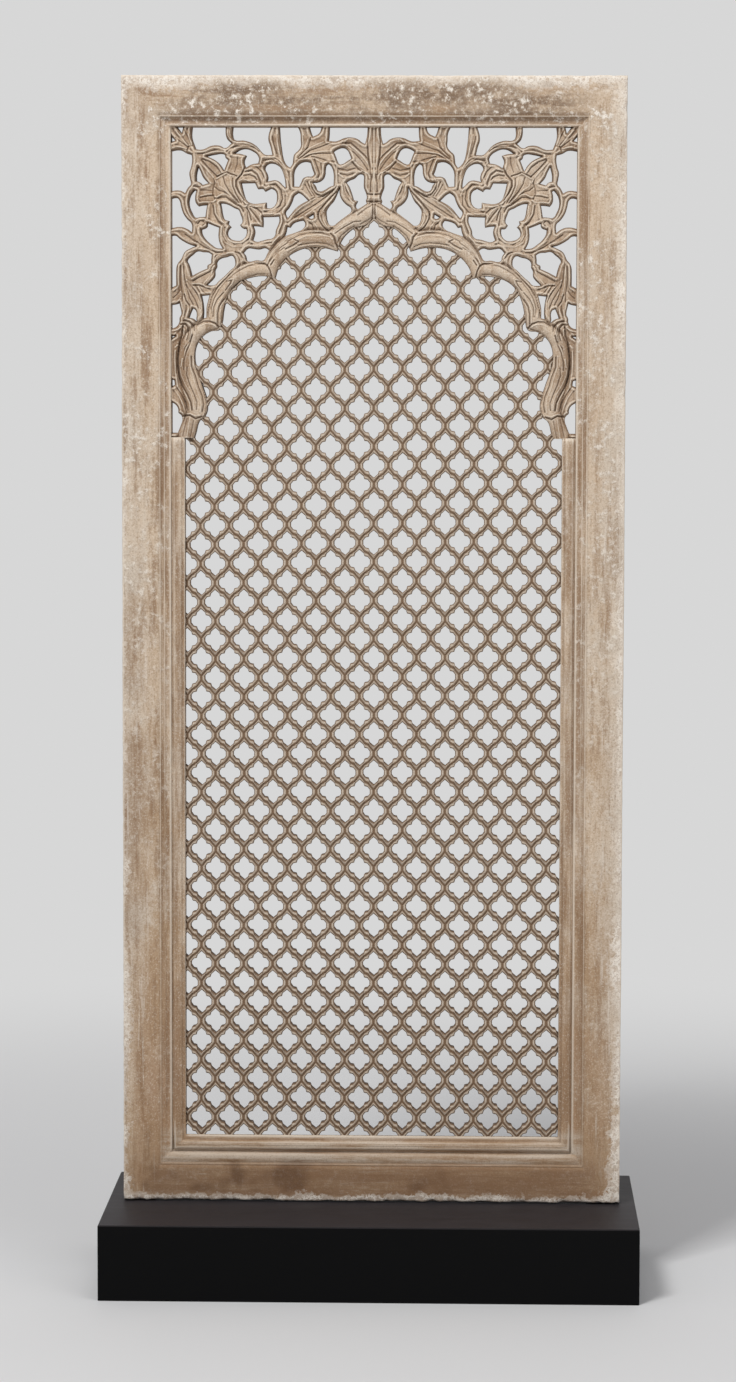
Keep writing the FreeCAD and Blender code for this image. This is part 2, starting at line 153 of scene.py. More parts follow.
class Ring:
    """Lines of a section, carried round the four sides of the block one after another."""

    def __init__(self):
        self.maker = bmesh.new()
        bmesh.ops.create_grid(self.maker, x_segments=1, y_segments=1, size=0.5)
        bmesh.ops.delete(self.maker, geom=self.maker.faces[:], context="FACES_ONLY")
        for edge in self.maker.edges[:]:
            upright = abs(edge.verts[0].co.x - edge.verts[1].co.x) < 0.5
            span = slab_height if upright else 2 * half_width
            cuts = round(span / EDGE_STEP)
            bmesh.ops.subdivide_edges(self.maker, edges=[edge], cuts=cuts)
        for vert in self.maker.verts:
            vert.co = (vert.co.x, 0, vert.co.y)
        self.line = self.maker.edges[:]
        self.first = None
        self.low, self.high, self.half = -0.5, 0.5, 0.5

    def place(self, side, top, foot, side_y, top_y, foot_y):
        """Put the next line at these distances from the outer edges and these depths."""
        if self.first is None:
            self.first, corners = self.line, self.maker.verts[:]
        else:
            corners, self.line = extruded(self.maker, self.line)
        half, low, high = half_width - side, slab_foot + foot, slab_foot + slab_height - top
        for vert in corners:
            across_share = vert.co.x / self.half
            up_share = (vert.co.z - self.low) / (self.high - self.low)
            depths = [y for y, gap in ((side_y, abs(across_share) - 1), (top_y, up_share - 1),
                                       (foot_y, up_share)) if abs(gap) < 1e-4]
            vert.co = (across_share * half, sum(depths) / len(depths),
                       low + up_share * (high - low))
        self.low, self.high, self.half = low, high, half

    def close(self):
        """Join the last line to the first and return the finished skin."""
        bmesh.ops.bridge_loops(self.maker, edges=self.first + self.line)
        bmesh.ops.recalc_face_normals(self.maker, faces=self.maker.faces[:])
        return self.maker


def edge_distance(place):
    """How far a point is from the nearest of the block's outer side faces."""
    return min(half_width - abs(place.x), place.z - slab_foot,
               slab_foot + slab_height - place.z)


ring = Ring()
slab_front = slab_low.y
for side, top, foot, *depths in BORDER_SECTION:
    ring.place(side * MM, top * MM, foot * MM, *(slab_front + depth * MM for depth in depths))
for depth in INNER_DEPTHS:
    ring.place(OPENING_SIDE, OPENING_TOP, OPENING_FOOT, *[slab_front + depth * MM] * 3)
for inset in BACK_STEPS:
    ring.place(*[min(inset * MM, OPENING_SIDE - BACK_CHAMFER)] * 3, *[slab_back] * 3)
for depth in reversed(SIDE_DEPTHS):
    ring.place(0, 0, 0, *[slab_front + depth * MM] * 3)
border_skin = ring.close()

# How far in from the outer edges chips reach, how quickly wear fades away from an arris and up
# from the foot, where knocks are worst, and how far the sawn sides wander.
CHIP_REACH = 9 * MM
ARRIS_FADE = 3.2 * MM
FOOT_FADE = 12 * MM
SIDE_SWAY = 1.6 * MM
for vert in border_skin.verts:
    place = vert.co.copy()
    rim = edge_distance(place)
    arris = max(rim, 0) + min(place.y - slab_front, slab_back - place.y)
    coarse = scattered(place, 9)
    fine = scattered(place, 60)
    low_edge = math.exp(-(place.z - slab_foot) / FOOT_FADE)
    chip = max(0.0, coarse * 0.7 + fine * 0.6 - 0.15 + 0.5 * low_edge)
    near = math.exp(-arris / ARRIS_FADE)
    wear = near * (0.5 + 3.2 * chip * (1 + 1.2 * low_edge)) * MM
    if rim < CHIP_REACH or place.y > slab_back - 1 * MM:
        inward = Vector((0, 1 if place.y < 0 else -1, 0))
        if half_width - abs(place.x) < CHIP_REACH:
            inward.x = -math.copysign(1, place.x)
        if place.z - slab_foot < CHIP_REACH:
            inward.z = 1
        if slab_foot + slab_height - place.z < CHIP_REACH:
            inward.z = -1
        vert.co += inward * wear * 0.6
        if rim < 0.5 * MM:
            sway = 0.35 * (scattered(place, 3.2) + 0.6 * fine)
            vert.co += Vector((inward.x, 0, inward.z)) * (max(0, sway + 0.25) * SIDE_SWAY)
    if place.y < slab_front + 0.05 * MM:
        vert.co.y += (0.25 + 0.35 * coarse + 0.22 * max(0, scattered(place, 140))) * MM
put_in_order(border_skin)
slab_border = set_mesh("stone_border", border_skin)

# The inner frame: a groove, a round bead and a flat fillet, cut into the same block. It runs up
# both sides of the lattice from the foot to the springing of the arch and is mitred at the foot.
SPRINGING = slab_foot + 1229 * MM
# Each line of the section: its distance in from the moulded opening at the sides and at the foot,
# and its depth behind the face, in millimetres.
BEAD_SECTION = (
    (-1.0, -1.0, 9.4),
    (1.6, 1.8, 9.2),
    (2.6, 3.0, 7.6),
    (3.4, 4.2, 4.6),
    (4.8, 6.2, 3.0),
    (6.6, 8.6, 2.3),
    (7.4, 9.6, 2.9),
    (8.4, 10.8, 2.1),
    (11.4, 12.8, 2.2),
    (12.2, 13.8, 2.9),
    (13.2, 14.6, 2.6),
    (15.2, 16.4, 4.2),
    (16.6, 17.8, 6.6),
    (17.4, 18.8, 9.2),
    (18.4, 20.0, 8.8),
    (20.8, 25.0, 9.0),
    (21.4, 25.8, 9.8),
    (21.7, 26.2, 11.4),
    (21.2, 22.0, 36.0),
    (-1.0, -1.0, 36.0),
)
# Up the sides the section is half as deep below its crest, from a little above the foot. Lines
# deeper than the bead's floor keep their depth.
BEAD_CREST, BEAD_FLOOR = 2.1, 12
SIDE_SHARE = 0.5
SIDE_START = 42 * MM
LONG_EDGE = 0.3
BEAD_CUTS = 180
BEAD_FRONT = 30 * MM


def bead_corners(side, foot, depth):
    """The turning points of one line of the inner frame, from its left head to its right."""
    across = half_width - OPENING_SIDE - side * MM
    low = slab_foot + OPENING_FOOT + foot * MM
    side_depth = BEAD_CREST + (depth - BEAD_CREST) * SIDE_SHARE if depth < BEAD_FLOOR else depth
    y, side_y = slab_front + depth * MM, slab_front + side_depth * MM
    left = [(side_y, SPRINGING), (side_y, low + SIDE_START), (y, low)]
    return ([(-across, *place) for place in left]
            + [(across, *place) for place in reversed(left)])


def extruded_to(maker, old_corners, edges, places):
    """Extrude a line of edges and set its new corners, in the order of the old, at places."""
    corners, line = extruded(maker, edges)
    order = [min(corners, key=lambda vert, old=old: (vert.co - old.co).length)
             for old in old_corners]
    for vert, place in zip(order, places):
        vert.co = place
    return order, line


bead = bmesh.new()
corners = [bead.verts.new(place) for place in bead_corners(*BEAD_SECTION[0])]
line = [bead.edges.new(pair) for pair in zip(corners, corners[1:])]
first_line = line
for section in BEAD_SECTION[1:]:
    corners, line = extruded_to(bead, corners, line, bead_corners(*section))
bmesh.ops.bridge_loops(bead, edges=first_line + line)
bmesh.ops.holes_fill(bead, edges=bead.edges[:], sides=0)
long_edges = [edge for edge in bead.edges if edge.calc_length() > LONG_EDGE]
bmesh.ops.subdivide_edges(bead, edges=long_edges, cuts=BEAD_CUTS, use_grid_fill=True)
bmesh.ops.recalc_face_normals(bead, faces=bead.faces[:])
for vert in bead.verts:
    if vert.co.y < slab_front + BEAD_FRONT:
        vert.co += Vector((scattered(vert.co, 11), 0.8 * scattered(vert.co, 17), 0)) * 0.5 * MM
put_in_order(bead)
inner_frame = set_mesh("inner_frame", bead)

# The pierced lattice: bars that cross on the slant, sunk behind the border and pierced with
# four-lobed openings. Each opening has a raised edge, so a groove runs down every bar. It is cut
# from the same block by hand, so no two openings are quite alike.
LATTICE_COLUMNS = 13
ROW_PITCH = 61.5 * MM
FRAME_SIDE, FRAME_FOOT = 22.3 * MM, 26.6 * MM
FIELD_HALF = half_width - OPENING_SIDE - FRAME_SIDE
FIELD_FOOT = slab_foot + OPENING_FOOT + FRAME_FOOT
HALF_COLUMN = 22.93 * MM
HALF_ROW = ROW_PITCH / 2
LATTICE_DEPTH = 12 * MM
LATTICE_THICKNESS = 25 * MM
# A quarter of one opening, from its pointed top to its round side: the pierced edge, the raised
# edge beside it, the groove shared with the next opening and the pierced edge at the back, in
# millimetres from the centre.
OPENING_QUARTER = (
    ((0.0, 19.4), (0.0, 23.2), (0.0, 27.35), (0.0, 20.6)),
    ((6.4, 13.9), (7.3, 15.7), (7.9, 17.3), (7.0, 14.8)),
    ((7.9, 9.0), (9.5, 12.0), (11.46, 15.375), (8.7, 10.0)),
    ((12.9, 7.9), (14.0, 10.5), (15.02, 13.45), (13.8, 8.8)),
    ((16.5, 3.3), (19.5, 3.2), (22.92, 3.4), (17.6, 3.5)),
)
RIM_SINK, CREST_SINK, GROOVE_SINK = 2.2 * MM, -1.4 * MM, 2.6 * MM
RIM, CREST, GROOVE, BACK_RIM = range(4)


def around(ring_number, y):
    """The places of one ring of an opening, all the way round, at a depth."""
    right = [point[ring_number] for point in OPENING_QUARTER]
    half = right + [(x, -z) for x, z in reversed(right)]
    whole = half + [(-x, z) for x, z in reversed(half[1:-1])]
    return [(x * MM, y, z * MM) for x, z in whole]


lattice_y = slab_front + LATTICE_DEPTH
lattice_back = lattice_y + LATTICE_THICKNESS
sheet = bmesh.new()
# One skin runs from the pierced edge over the raised edge to the groove, and one to the back.
for rings in (((CREST, lattice_y + CREST_SINK), (GROOVE, lattice_y + GROOVE_SINK)),
              ((BACK_RIM, lattice_back), (GROOVE, lattice_back))):
    corners = [sheet.verts.new(place) for place in around(RIM, lattice_y + RIM_SINK)]
    edges = [sheet.edges.new(pair) for pair in zip(corners, corners[1:] + corners[:1])]
    for ring_number, y in rings:
        corners, edges = extruded_to(sheet, corners, edges, around(ring_number, y))
bmesh.ops.remove_doubles(sheet, verts=sheet.verts[:], dist=1e-6)
bmesh.ops.recalc_face_normals(sheet, faces=sheet.faces[:])
second = bmesh.ops.duplicate(sheet, geom=sheet.verts[:] + sheet.edges[:] + sheet.faces[:])["geom"]
moved = [item for item in second if isinstance(item, bmesh.types.BMVert)]
bmesh.ops.translate(sheet, verts=moved, vec=(HALF_COLUMN, 0, HALF_ROW))
put_in_order(sheet)
lattice = set_mesh("lattice", sheet)

ARCH_APEX = slab_foot + 1574 * MM
ROWS = math.ceil((ARCH_APEX - FIELD_FOOT) / ROW_PITCH) + 2
for count, step in ((LATTICE_COLUMNS + 2, (2 * HALF_COLUMN, 0, 0)), (ROWS, (0, 0, ROW_PITCH))):
    repeat = lattice.modifiers.new("repeat", "ARRAY")
    repeat.count = count
    repeat.use_relative_offset = False
    repeat.use_constant_offset = True
    repeat.constant_offset_displace = step
bake(lattice)
lattice.data.transform(Matrix.Translation(
    (-(LATTICE_COLUMNS + 1) * HALF_COLUMN, 0, FIELD_FOOT - HALF_ROW)))

# The arch: a cusped band that springs from the inner frame, with three hollows on each side of
# a pointed crown. Its two outlines run from the springing up to the apex. They are given point by
# point, across and up, in thousandths of half the opening and of its height above the springing.
ARCH_INNER_SHARES = (
    893, -12, 884, 8, 866, 47, 838, 63, 826, 100, 850, 161, 878, 215, 889, 255, 880, 295, 853, 322,
    812, 340, 766, 346, 752, 372, 745, 408, 730, 446, 703, 480, 664, 503, 616, 515, 548, 521, 490,
    513, 472, 548, 438, 577, 390, 600, 330, 613, 250, 613, 181, 602, 156, 640, 128, 662, 94, 678,
    45, 684, 0, 708,
)
ARCH_OUTER_SHARES = (
    972, -12, 972, 10, 944, 50, 930, 75, 934, 110, 955, 160, 968, 205, 975, 250, 962, 298, 932,
    335, 890, 361, 831, 386, 818, 420, 806, 452, 776, 484, 734, 513, 695, 540, 650, 560, 600, 570,
    547, 571, 510, 606, 478, 632, 438, 652, 385, 665, 330, 672, 270, 674, 219, 670, 170, 699, 130,
    716, 94, 731, 38, 753, 0, 762,
)
opening_half = half_width - OPENING_SIDE
opening_top = slab_foot + slab_height - OPENING_TOP
share_level = slab_foot + 1232 * MM
SHARE_WIDTH = 320 * MM
SHARE_HEIGHT = 485 * MM
SHARP_TURN = 1.05


def from_shares(shares, hand=1):
    """Points of the carving in X and Z, from their shares in thousandths, across and up."""
    return [Vector((hand * (across / 1000) * SHARE_WIDTH, share_level + up / 1000 * SHARE_HEIGHT))
            for across, up in zip(shares[::2], shares[1::2])]


def arch_line(shares):
    """A line over the arch from left to right."""
    right = from_shares(shares)
    return [Vector((-point.x, point.y)) for point in right] + right[-2::-1]


def loop(curve, points):
    """Add a closed outline that runs smoothly through its points, except at sharp turns."""
    spline = curve.splines.new("BEZIER")
    spline.bezier_points.add(len(points) - 1)
    spline.use_cyclic_u = True
    for number, handle in enumerate(spline.bezier_points):
        before, here, after = (points[(number + step) % len(points)] for step in (-1, 0, 1))
        handle.co = (here.x, here.y, 0)
        turn = (here - before).angle(after - here, 0)
        kind = "VECTOR" if turn > SHARP_TURN else "AUTO"
        handle.handle_left_type = handle.handle_right_type = kind


def pierced_plate(name, outlines, front, back, resolution=5):
    """A flat plate with holes, from closed outlines in X and Z, between two depths."""
    curve = bpy.data.curves.new(name, "CURVE")
    curve.dimensions = "2D"
    curve.fill_mode = "BOTH"
    curve.resolution_u = resolution
    curve.extrude = (back - front) / 2
    for points in outlines:
        loop(curve, points)
    flat = bpy.data.objects.new(name, curve)
    bpy.context.scene.collection.objects.link(flat)
    mesh = finished_mesh(flat)
    bpy.data.objects.remove(flat)
    mesh.transform(Matrix.Translation((0, (front + back) / 2, 0))
                   @ Matrix.Rotation(math.radians(90), 4, "X"))
    solid = bmesh.new()
    solid.from_mesh(mesh)
    bmesh.ops.remove_doubles(solid, verts=solid.verts[:], dist=1e-6)
    bmesh.ops.recalc_face_normals(solid, faces=solid.faces[:])
    return set_mesh(name, solid, smooth=False)


FIELD_LAP = 2.5 * MM
TOOL_LAP = 5 * MM
OPENING_MIDDLE = 1100 * MM
inner_line = arch_line(ARCH_INNER_SHARES)
lowest, highest = FIELD_FOOT - FIELD_LAP, SPRINGING + FIELD_LAP
field_side = FIELD_HALF + FIELD_LAP
field_points = [Vector((-field_side, lowest)), Vector((-field_side, highest)), *inner_line,
                Vector((field_side, highest)), Vector((field_side, lowest))]
middle = Vector((0, slab_foot + OPENING_MIDDLE))
field_outline = [point + (point - middle).normalized() * FIELD_LAP for point in field_points]
field_tool = pierced_plate("field_tool", [field_outline], lattice_y - TOOL_LAP,
                           lattice_back + TOOL_LAP, 3)
# The repeats are joined where they meet, and the sheet is closed at its outer edges.
closing = bmesh.new()
closing.from_mesh(lattice.data)
bmesh.ops.remove_doubles(closing, verts=closing.verts[:], dist=0.3 * MM)
open_edges = [edge for edge in closing.edges if edge.is_boundary]
bmesh.ops.bridge_loops(closing, edges=open_edges)
bmesh.ops.recalc_face_normals(closing, faces=closing.faces[:])
closing.to_mesh(lattice.data)
closing.free()
# The rows were set out by eye: they sag to the left and climb to the right towards the arch. Each
# term is the power of the share across, the power of the share up and what it adds across and up,
# in millimetres.
ROW_DRIFT = (
    (0, 0, 1.73, 3.36), (0, 1, -1.43, -0.30), (0, 2, -0.48, -4.39), (0, 3, 0.04, 3.09),
    (0, 4, 0.21, -0.70), (1, 0, -0.46, 2.25), (1, 1, -2.16, 6.51), (1, 2, 3.88, 1.58),
    (1, 3, 1.89, -0.69), (2, 0, -5.31, -0.91), (2, 1, -1.28, -0.68), (2, 2, -0.18, -2.03),
    (3, 0, 1.04, 0.40), (3, 1, 1.06, -1.54), (4, 0, 5.76, 0.70),
)
DRIFT_HALF, DRIFT_LEVEL, DRIFT_HEIGHT = 300 * MM, 800 * MM, 750 * MM
HAND_CUT = 0.6 * MM
for vert in lattice.data.vertices:
    place = vert.co.copy()
    x_share = place.x / DRIFT_HALF
    z_share = (place.z - slab_foot - DRIFT_LEVEL) / DRIFT_HEIGHT
    place.y = 0
    wander = noise.noise_vector(place * 38 + WEAR_SEED) * HAND_CUT
    for x_power, z_power, across, upward in ROW_DRIFT:
        term = x_share ** x_power * z_share ** z_power * MM
        wander += Vector((across * term, 0, upward * term))
    vert.co += Vector((wander.x, 0.4 * wander.y if vert.co.y < 0 else 0, wander.z))

trimmed(lattice, field_tool, "INTERSECT")

# The foliage over the arch: two lilies on winding stems, with curling leaves, buds and a central
# lily that stands on the crown. It is cut from the same block, pierced through and then rounded
# over in low relief. Its openings are given as the arch is, those of the right half alone.
FOLIAGE_GAPS = (
    (978, 1008, 943, 1008, 951, 984),
    (1014, 981, 1014, 954, 984, 960),
    (900, 1008, 903, 972, 893, 950, 882, 932, 850, 931, 800, 944, 760, 943, 737, 936, 705, 951,
     728, 967, 735, 1008),
    (698, 1008, 699, 974, 690, 963, 640, 960, 590, 947, 553, 922, 540, 915, 503, 914, 512, 940,
     523, 966, 508, 1008),
    (693, 919, 650, 934, 605, 928, 570, 905, 573, 887, 605, 883, 635, 872, 643, 893, 632, 912, 660,
     917),
    (830, 910, 790, 916, 750, 918, 738, 913, 735, 905, 722, 897, 735, 875, 742, 862, 765, 885, 790,
     898),
    (871, 876, 860, 862, 845, 840, 820, 822, 850, 816, 860, 824, 880, 829, 880, 850),
    (1014, 926, 960, 930, 930, 920, 903, 915, 900, 900, 905, 875, 914, 855, 910, 835, 907, 818,
     920, 808, 935, 790, 960, 798, 1014, 795),
    (1014, 770, 980, 775, 965, 768, 955, 745, 945, 725, 925, 705, 903, 690, 902, 662, 930, 675,
     960, 680, 1014, 674),
    (890, 800, 880, 797, 885, 780, 883, 760, 870, 748, 858, 750, 826, 752, 830, 735, 835, 713, 860,
     712, 885, 711, 905, 730, 916, 750, 914, 775, 903, 790),
    (825, 693, 800, 686, 767, 678, 769, 665, 770, 650, 765, 630, 750, 610, 780, 612, 810, 625, 835,
     640, 853, 660, 855, 672, 830, 680),
    (760, 757, 745, 757, 720, 752, 695, 743, 670, 735, 660, 720, 652, 705, 652, 695, 663, 686, 650,
     676, 632, 675, 630, 660, 640, 645, 660, 636, 685, 636, 710, 642, 725, 655, 720, 672, 708, 681,
     722, 690, 718, 700, 740, 705, 750, 720, 755, 740),
    (657, 823, 590, 824, 575, 804, 550, 804, 540, 796, 510, 806, 487, 796, 480, 775, 490, 750, 512,
     741, 532, 742, 533, 760, 560, 757, 605, 757, 632, 768, 643, 785),
    (598, 684, 590, 665, 600, 638, 580, 632, 555, 635, 530, 640, 505, 643, 490, 652, 485, 670, 475,
     685, 468, 700, 470, 715, 500, 714, 550, 713, 548, 695, 550, 680, 575, 683),
    (647, 597, 625, 611, 600, 610, 570, 608, 540, 612, 520, 605, 530, 590, 547, 572, 580, 572, 620,
     568, 630, 572, 635, 585),
    (705, 587, 730, 583, 765, 576, 779, 565, 780, 550, 788, 540, 790, 520, 800, 510, 820, 497, 828,
     491, 787, 492, 770, 503, 740, 520, 710, 540, 690, 552, 687, 565, 693, 580),
    (878, 601, 850, 599, 820, 597, 803, 590, 806, 575, 808, 562, 824, 555, 825, 545, 850, 538, 875,
     530, 903, 520, 910, 540, 920, 560, 927, 570, 915, 582, 900, 590),
    (985, 652, 960, 640, 930, 628, 900, 620, 882, 618, 910, 610, 935, 600, 945, 590, 955, 575, 970,
     563, 978, 550, 980, 530, 980, 490, 1014, 478, 1014, 650),
    (1014, 425, 975, 430, 965, 433, 960, 420, 955, 405, 955, 395, 963, 385, 965, 370, 980, 355,
     1014, 348),
    (900, 415, 885, 410, 878, 397, 880, 380, 877, 370, 900, 382, 918, 385, 910, 400),
    (855, 456, 815, 459, 820, 445, 830, 415, 830, 385, 848, 382, 845, 400, 846, 420, 850, 440),
    (1014, 324, 985, 325, 1014, 313),
    (1014, 185, 990, 180, 987, 165, 1014, 158),
    (1014, 112, 980, 98, 970, 83, 970, 75, 955, 65, 950, 52, 960, 30, 973, 8, 1014, 8),
    (468, 1008, 380, 1008, 365, 985, 363, 965, 363, 940, 375, 928, 395, 915, 400, 900, 403, 885,
     415, 873, 430, 880, 445, 895, 452, 910, 458, 935, 463, 960),
    (320, 1008, 258, 1008, 270, 985, 302, 973, 310, 985),
    (220, 1008, 32, 1008, 35, 975, 45, 950, 60, 955, 80, 965, 115, 971, 150, 968, 170, 962, 190,
     958, 225, 960, 222, 975),
    (200, 926, 180, 934, 155, 938, 135, 932, 120, 915, 113, 902, 130, 895, 155, 885, 170, 884, 180,
     893, 190, 910),
    (225, 886, 210, 875, 200, 855, 200, 815, 220, 810, 245, 800, 265, 796, 280, 800, 290, 815, 303,
     825, 280, 826, 255, 835, 243, 850, 240, 870, 235, 882),
    (315, 890, 340, 893, 365, 888, 385, 875, 395, 860, 397, 830, 397, 812, 370, 811, 360, 825, 350,
     838, 330, 844, 305, 845, 295, 852, 303, 865, 310, 880),
    (500, 887, 480, 882, 460, 870, 447, 850, 440, 830, 437, 808, 450, 815, 470, 828, 490, 832, 510,
     830, 530, 827, 525, 840, 530, 855, 540, 870, 525, 885),
    (375, 792, 360, 787, 340, 775, 327, 766, 345, 760, 370, 750, 395, 735, 410, 722, 427, 709, 435,
     718, 438, 728, 420, 745, 405, 765, 395, 782),
    (350, 702, 370, 700, 400, 692, 415, 679, 430, 681, 435, 665, 443, 650, 420, 655, 385, 663, 350,
     675, 340, 690),
    (325, 712, 300, 722, 298, 710, 310, 707),
    (170, 808, 170, 790, 160, 770, 140, 755, 115, 742, 113, 730, 130, 720, 160, 705, 185, 692, 200,
     685, 220, 688, 230, 700, 235, 720, 235, 733, 220, 750, 200, 765, 185, 785),
    (137, 826, 120, 833, 95, 840, 80, 850, 65, 853, 52, 848, 50, 830, 50, 810, 37, 785, 35, 775,
     40, 765, 35, 757, 50, 750, 70, 742, 80, 738, 90, 748, 80, 765, 100, 768, 105, 780, 115, 800,
     125, 815),
)
SPANDREL_FOOT = SPRINGING - 1 * MM
PLATE_LAP = 4 * MM
BLANK_LAP = 2 * MM
plate_side = opening_half + PLATE_LAP
plate_top = opening_top + PLATE_LAP
outline = [Vector((-plate_side, SPANDREL_FOOT)), Vector((-plate_side, plate_top)),
           Vector((plate_side, plate_top)), Vector((plate_side, SPANDREL_FOOT)),
           Vector((inner_line[-1].x, SPANDREL_FOOT)), *inner_line[::-1],
           Vector((inner_line[0].x, SPANDREL_FOOT))]
gaps = [from_shares(gap, hand) for gap in FOLIAGE_GAPS for hand in (1, -1)]
CARVING_BASE = slab_front + 13 * MM
plate = pierced_plate("carving_outline", [outline] + gaps, CARVING_BASE - BLANK_LAP, lattice_back)

# The walls of the plate alone, from which the rounding of its edges is measured.
walls = bmesh.new()
walls.from_mesh(plate.data)
caps = [face for face in walls.faces if abs(face.normal.y) > 0.5]
bmesh.ops.delete(walls, geom=caps, context="FACES_ONLY")
wall_tree = BVHTree.FromBMesh(walls)
walls.free()

GRAIN = 0.98 * MM


def carving_blank(hand):
    """Half of the pierced plate, its face divided finely enough to be carved."""
    block = bmesh.new()
    across, upward = plate_side + BLANK_LAP, plate_top - SPANDREL_FOOT + 2 * BLANK_LAP
    bmesh.ops.create_grid(block, x_segments=round(across / GRAIN),
                          y_segments=round(upward / GRAIN), size=0.5)
    bmesh.ops.scale(block, verts=block.verts[:], vec=(across, upward, 1))
    turn = Matrix.Rotation(math.radians(90), 3, "X")
    bmesh.ops.rotate(block, verts=block.verts[:], matrix=turn)
    middle = Vector((hand * across / 2, CARVING_BASE, (plate_top + SPANDREL_FOOT) / 2))
    bmesh.ops.translate(block, verts=block.verts[:], vec=middle)
    open_edges = [edge for edge in block.edges if edge.is_boundary]
    back_corners = extruded(block, open_edges)[0]
    deep = lattice_back + 2 * BLANK_LAP - CARVING_BASE
    bmesh.ops.translate(block, verts=back_corners, vec=(0, deep, 0))
    bmesh.ops.edgeloop_fill(block, edges=[edge for edge in block.edges if edge.is_boundary])
    bmesh.ops.recalc_face_normals(block, faces=block.faces[:])
    blank = set_mesh("carving_left" if hand < 0 else "carving_right", block)
    tool = plate.copy()
    bpy.context.scene.collection.objects.link(tool)
    return trimmed(blank, tool, "INTERSECT")


carvings = [carving_blank(hand) for hand in (-1, 1)]
bpy.data.objects.remove(plate)

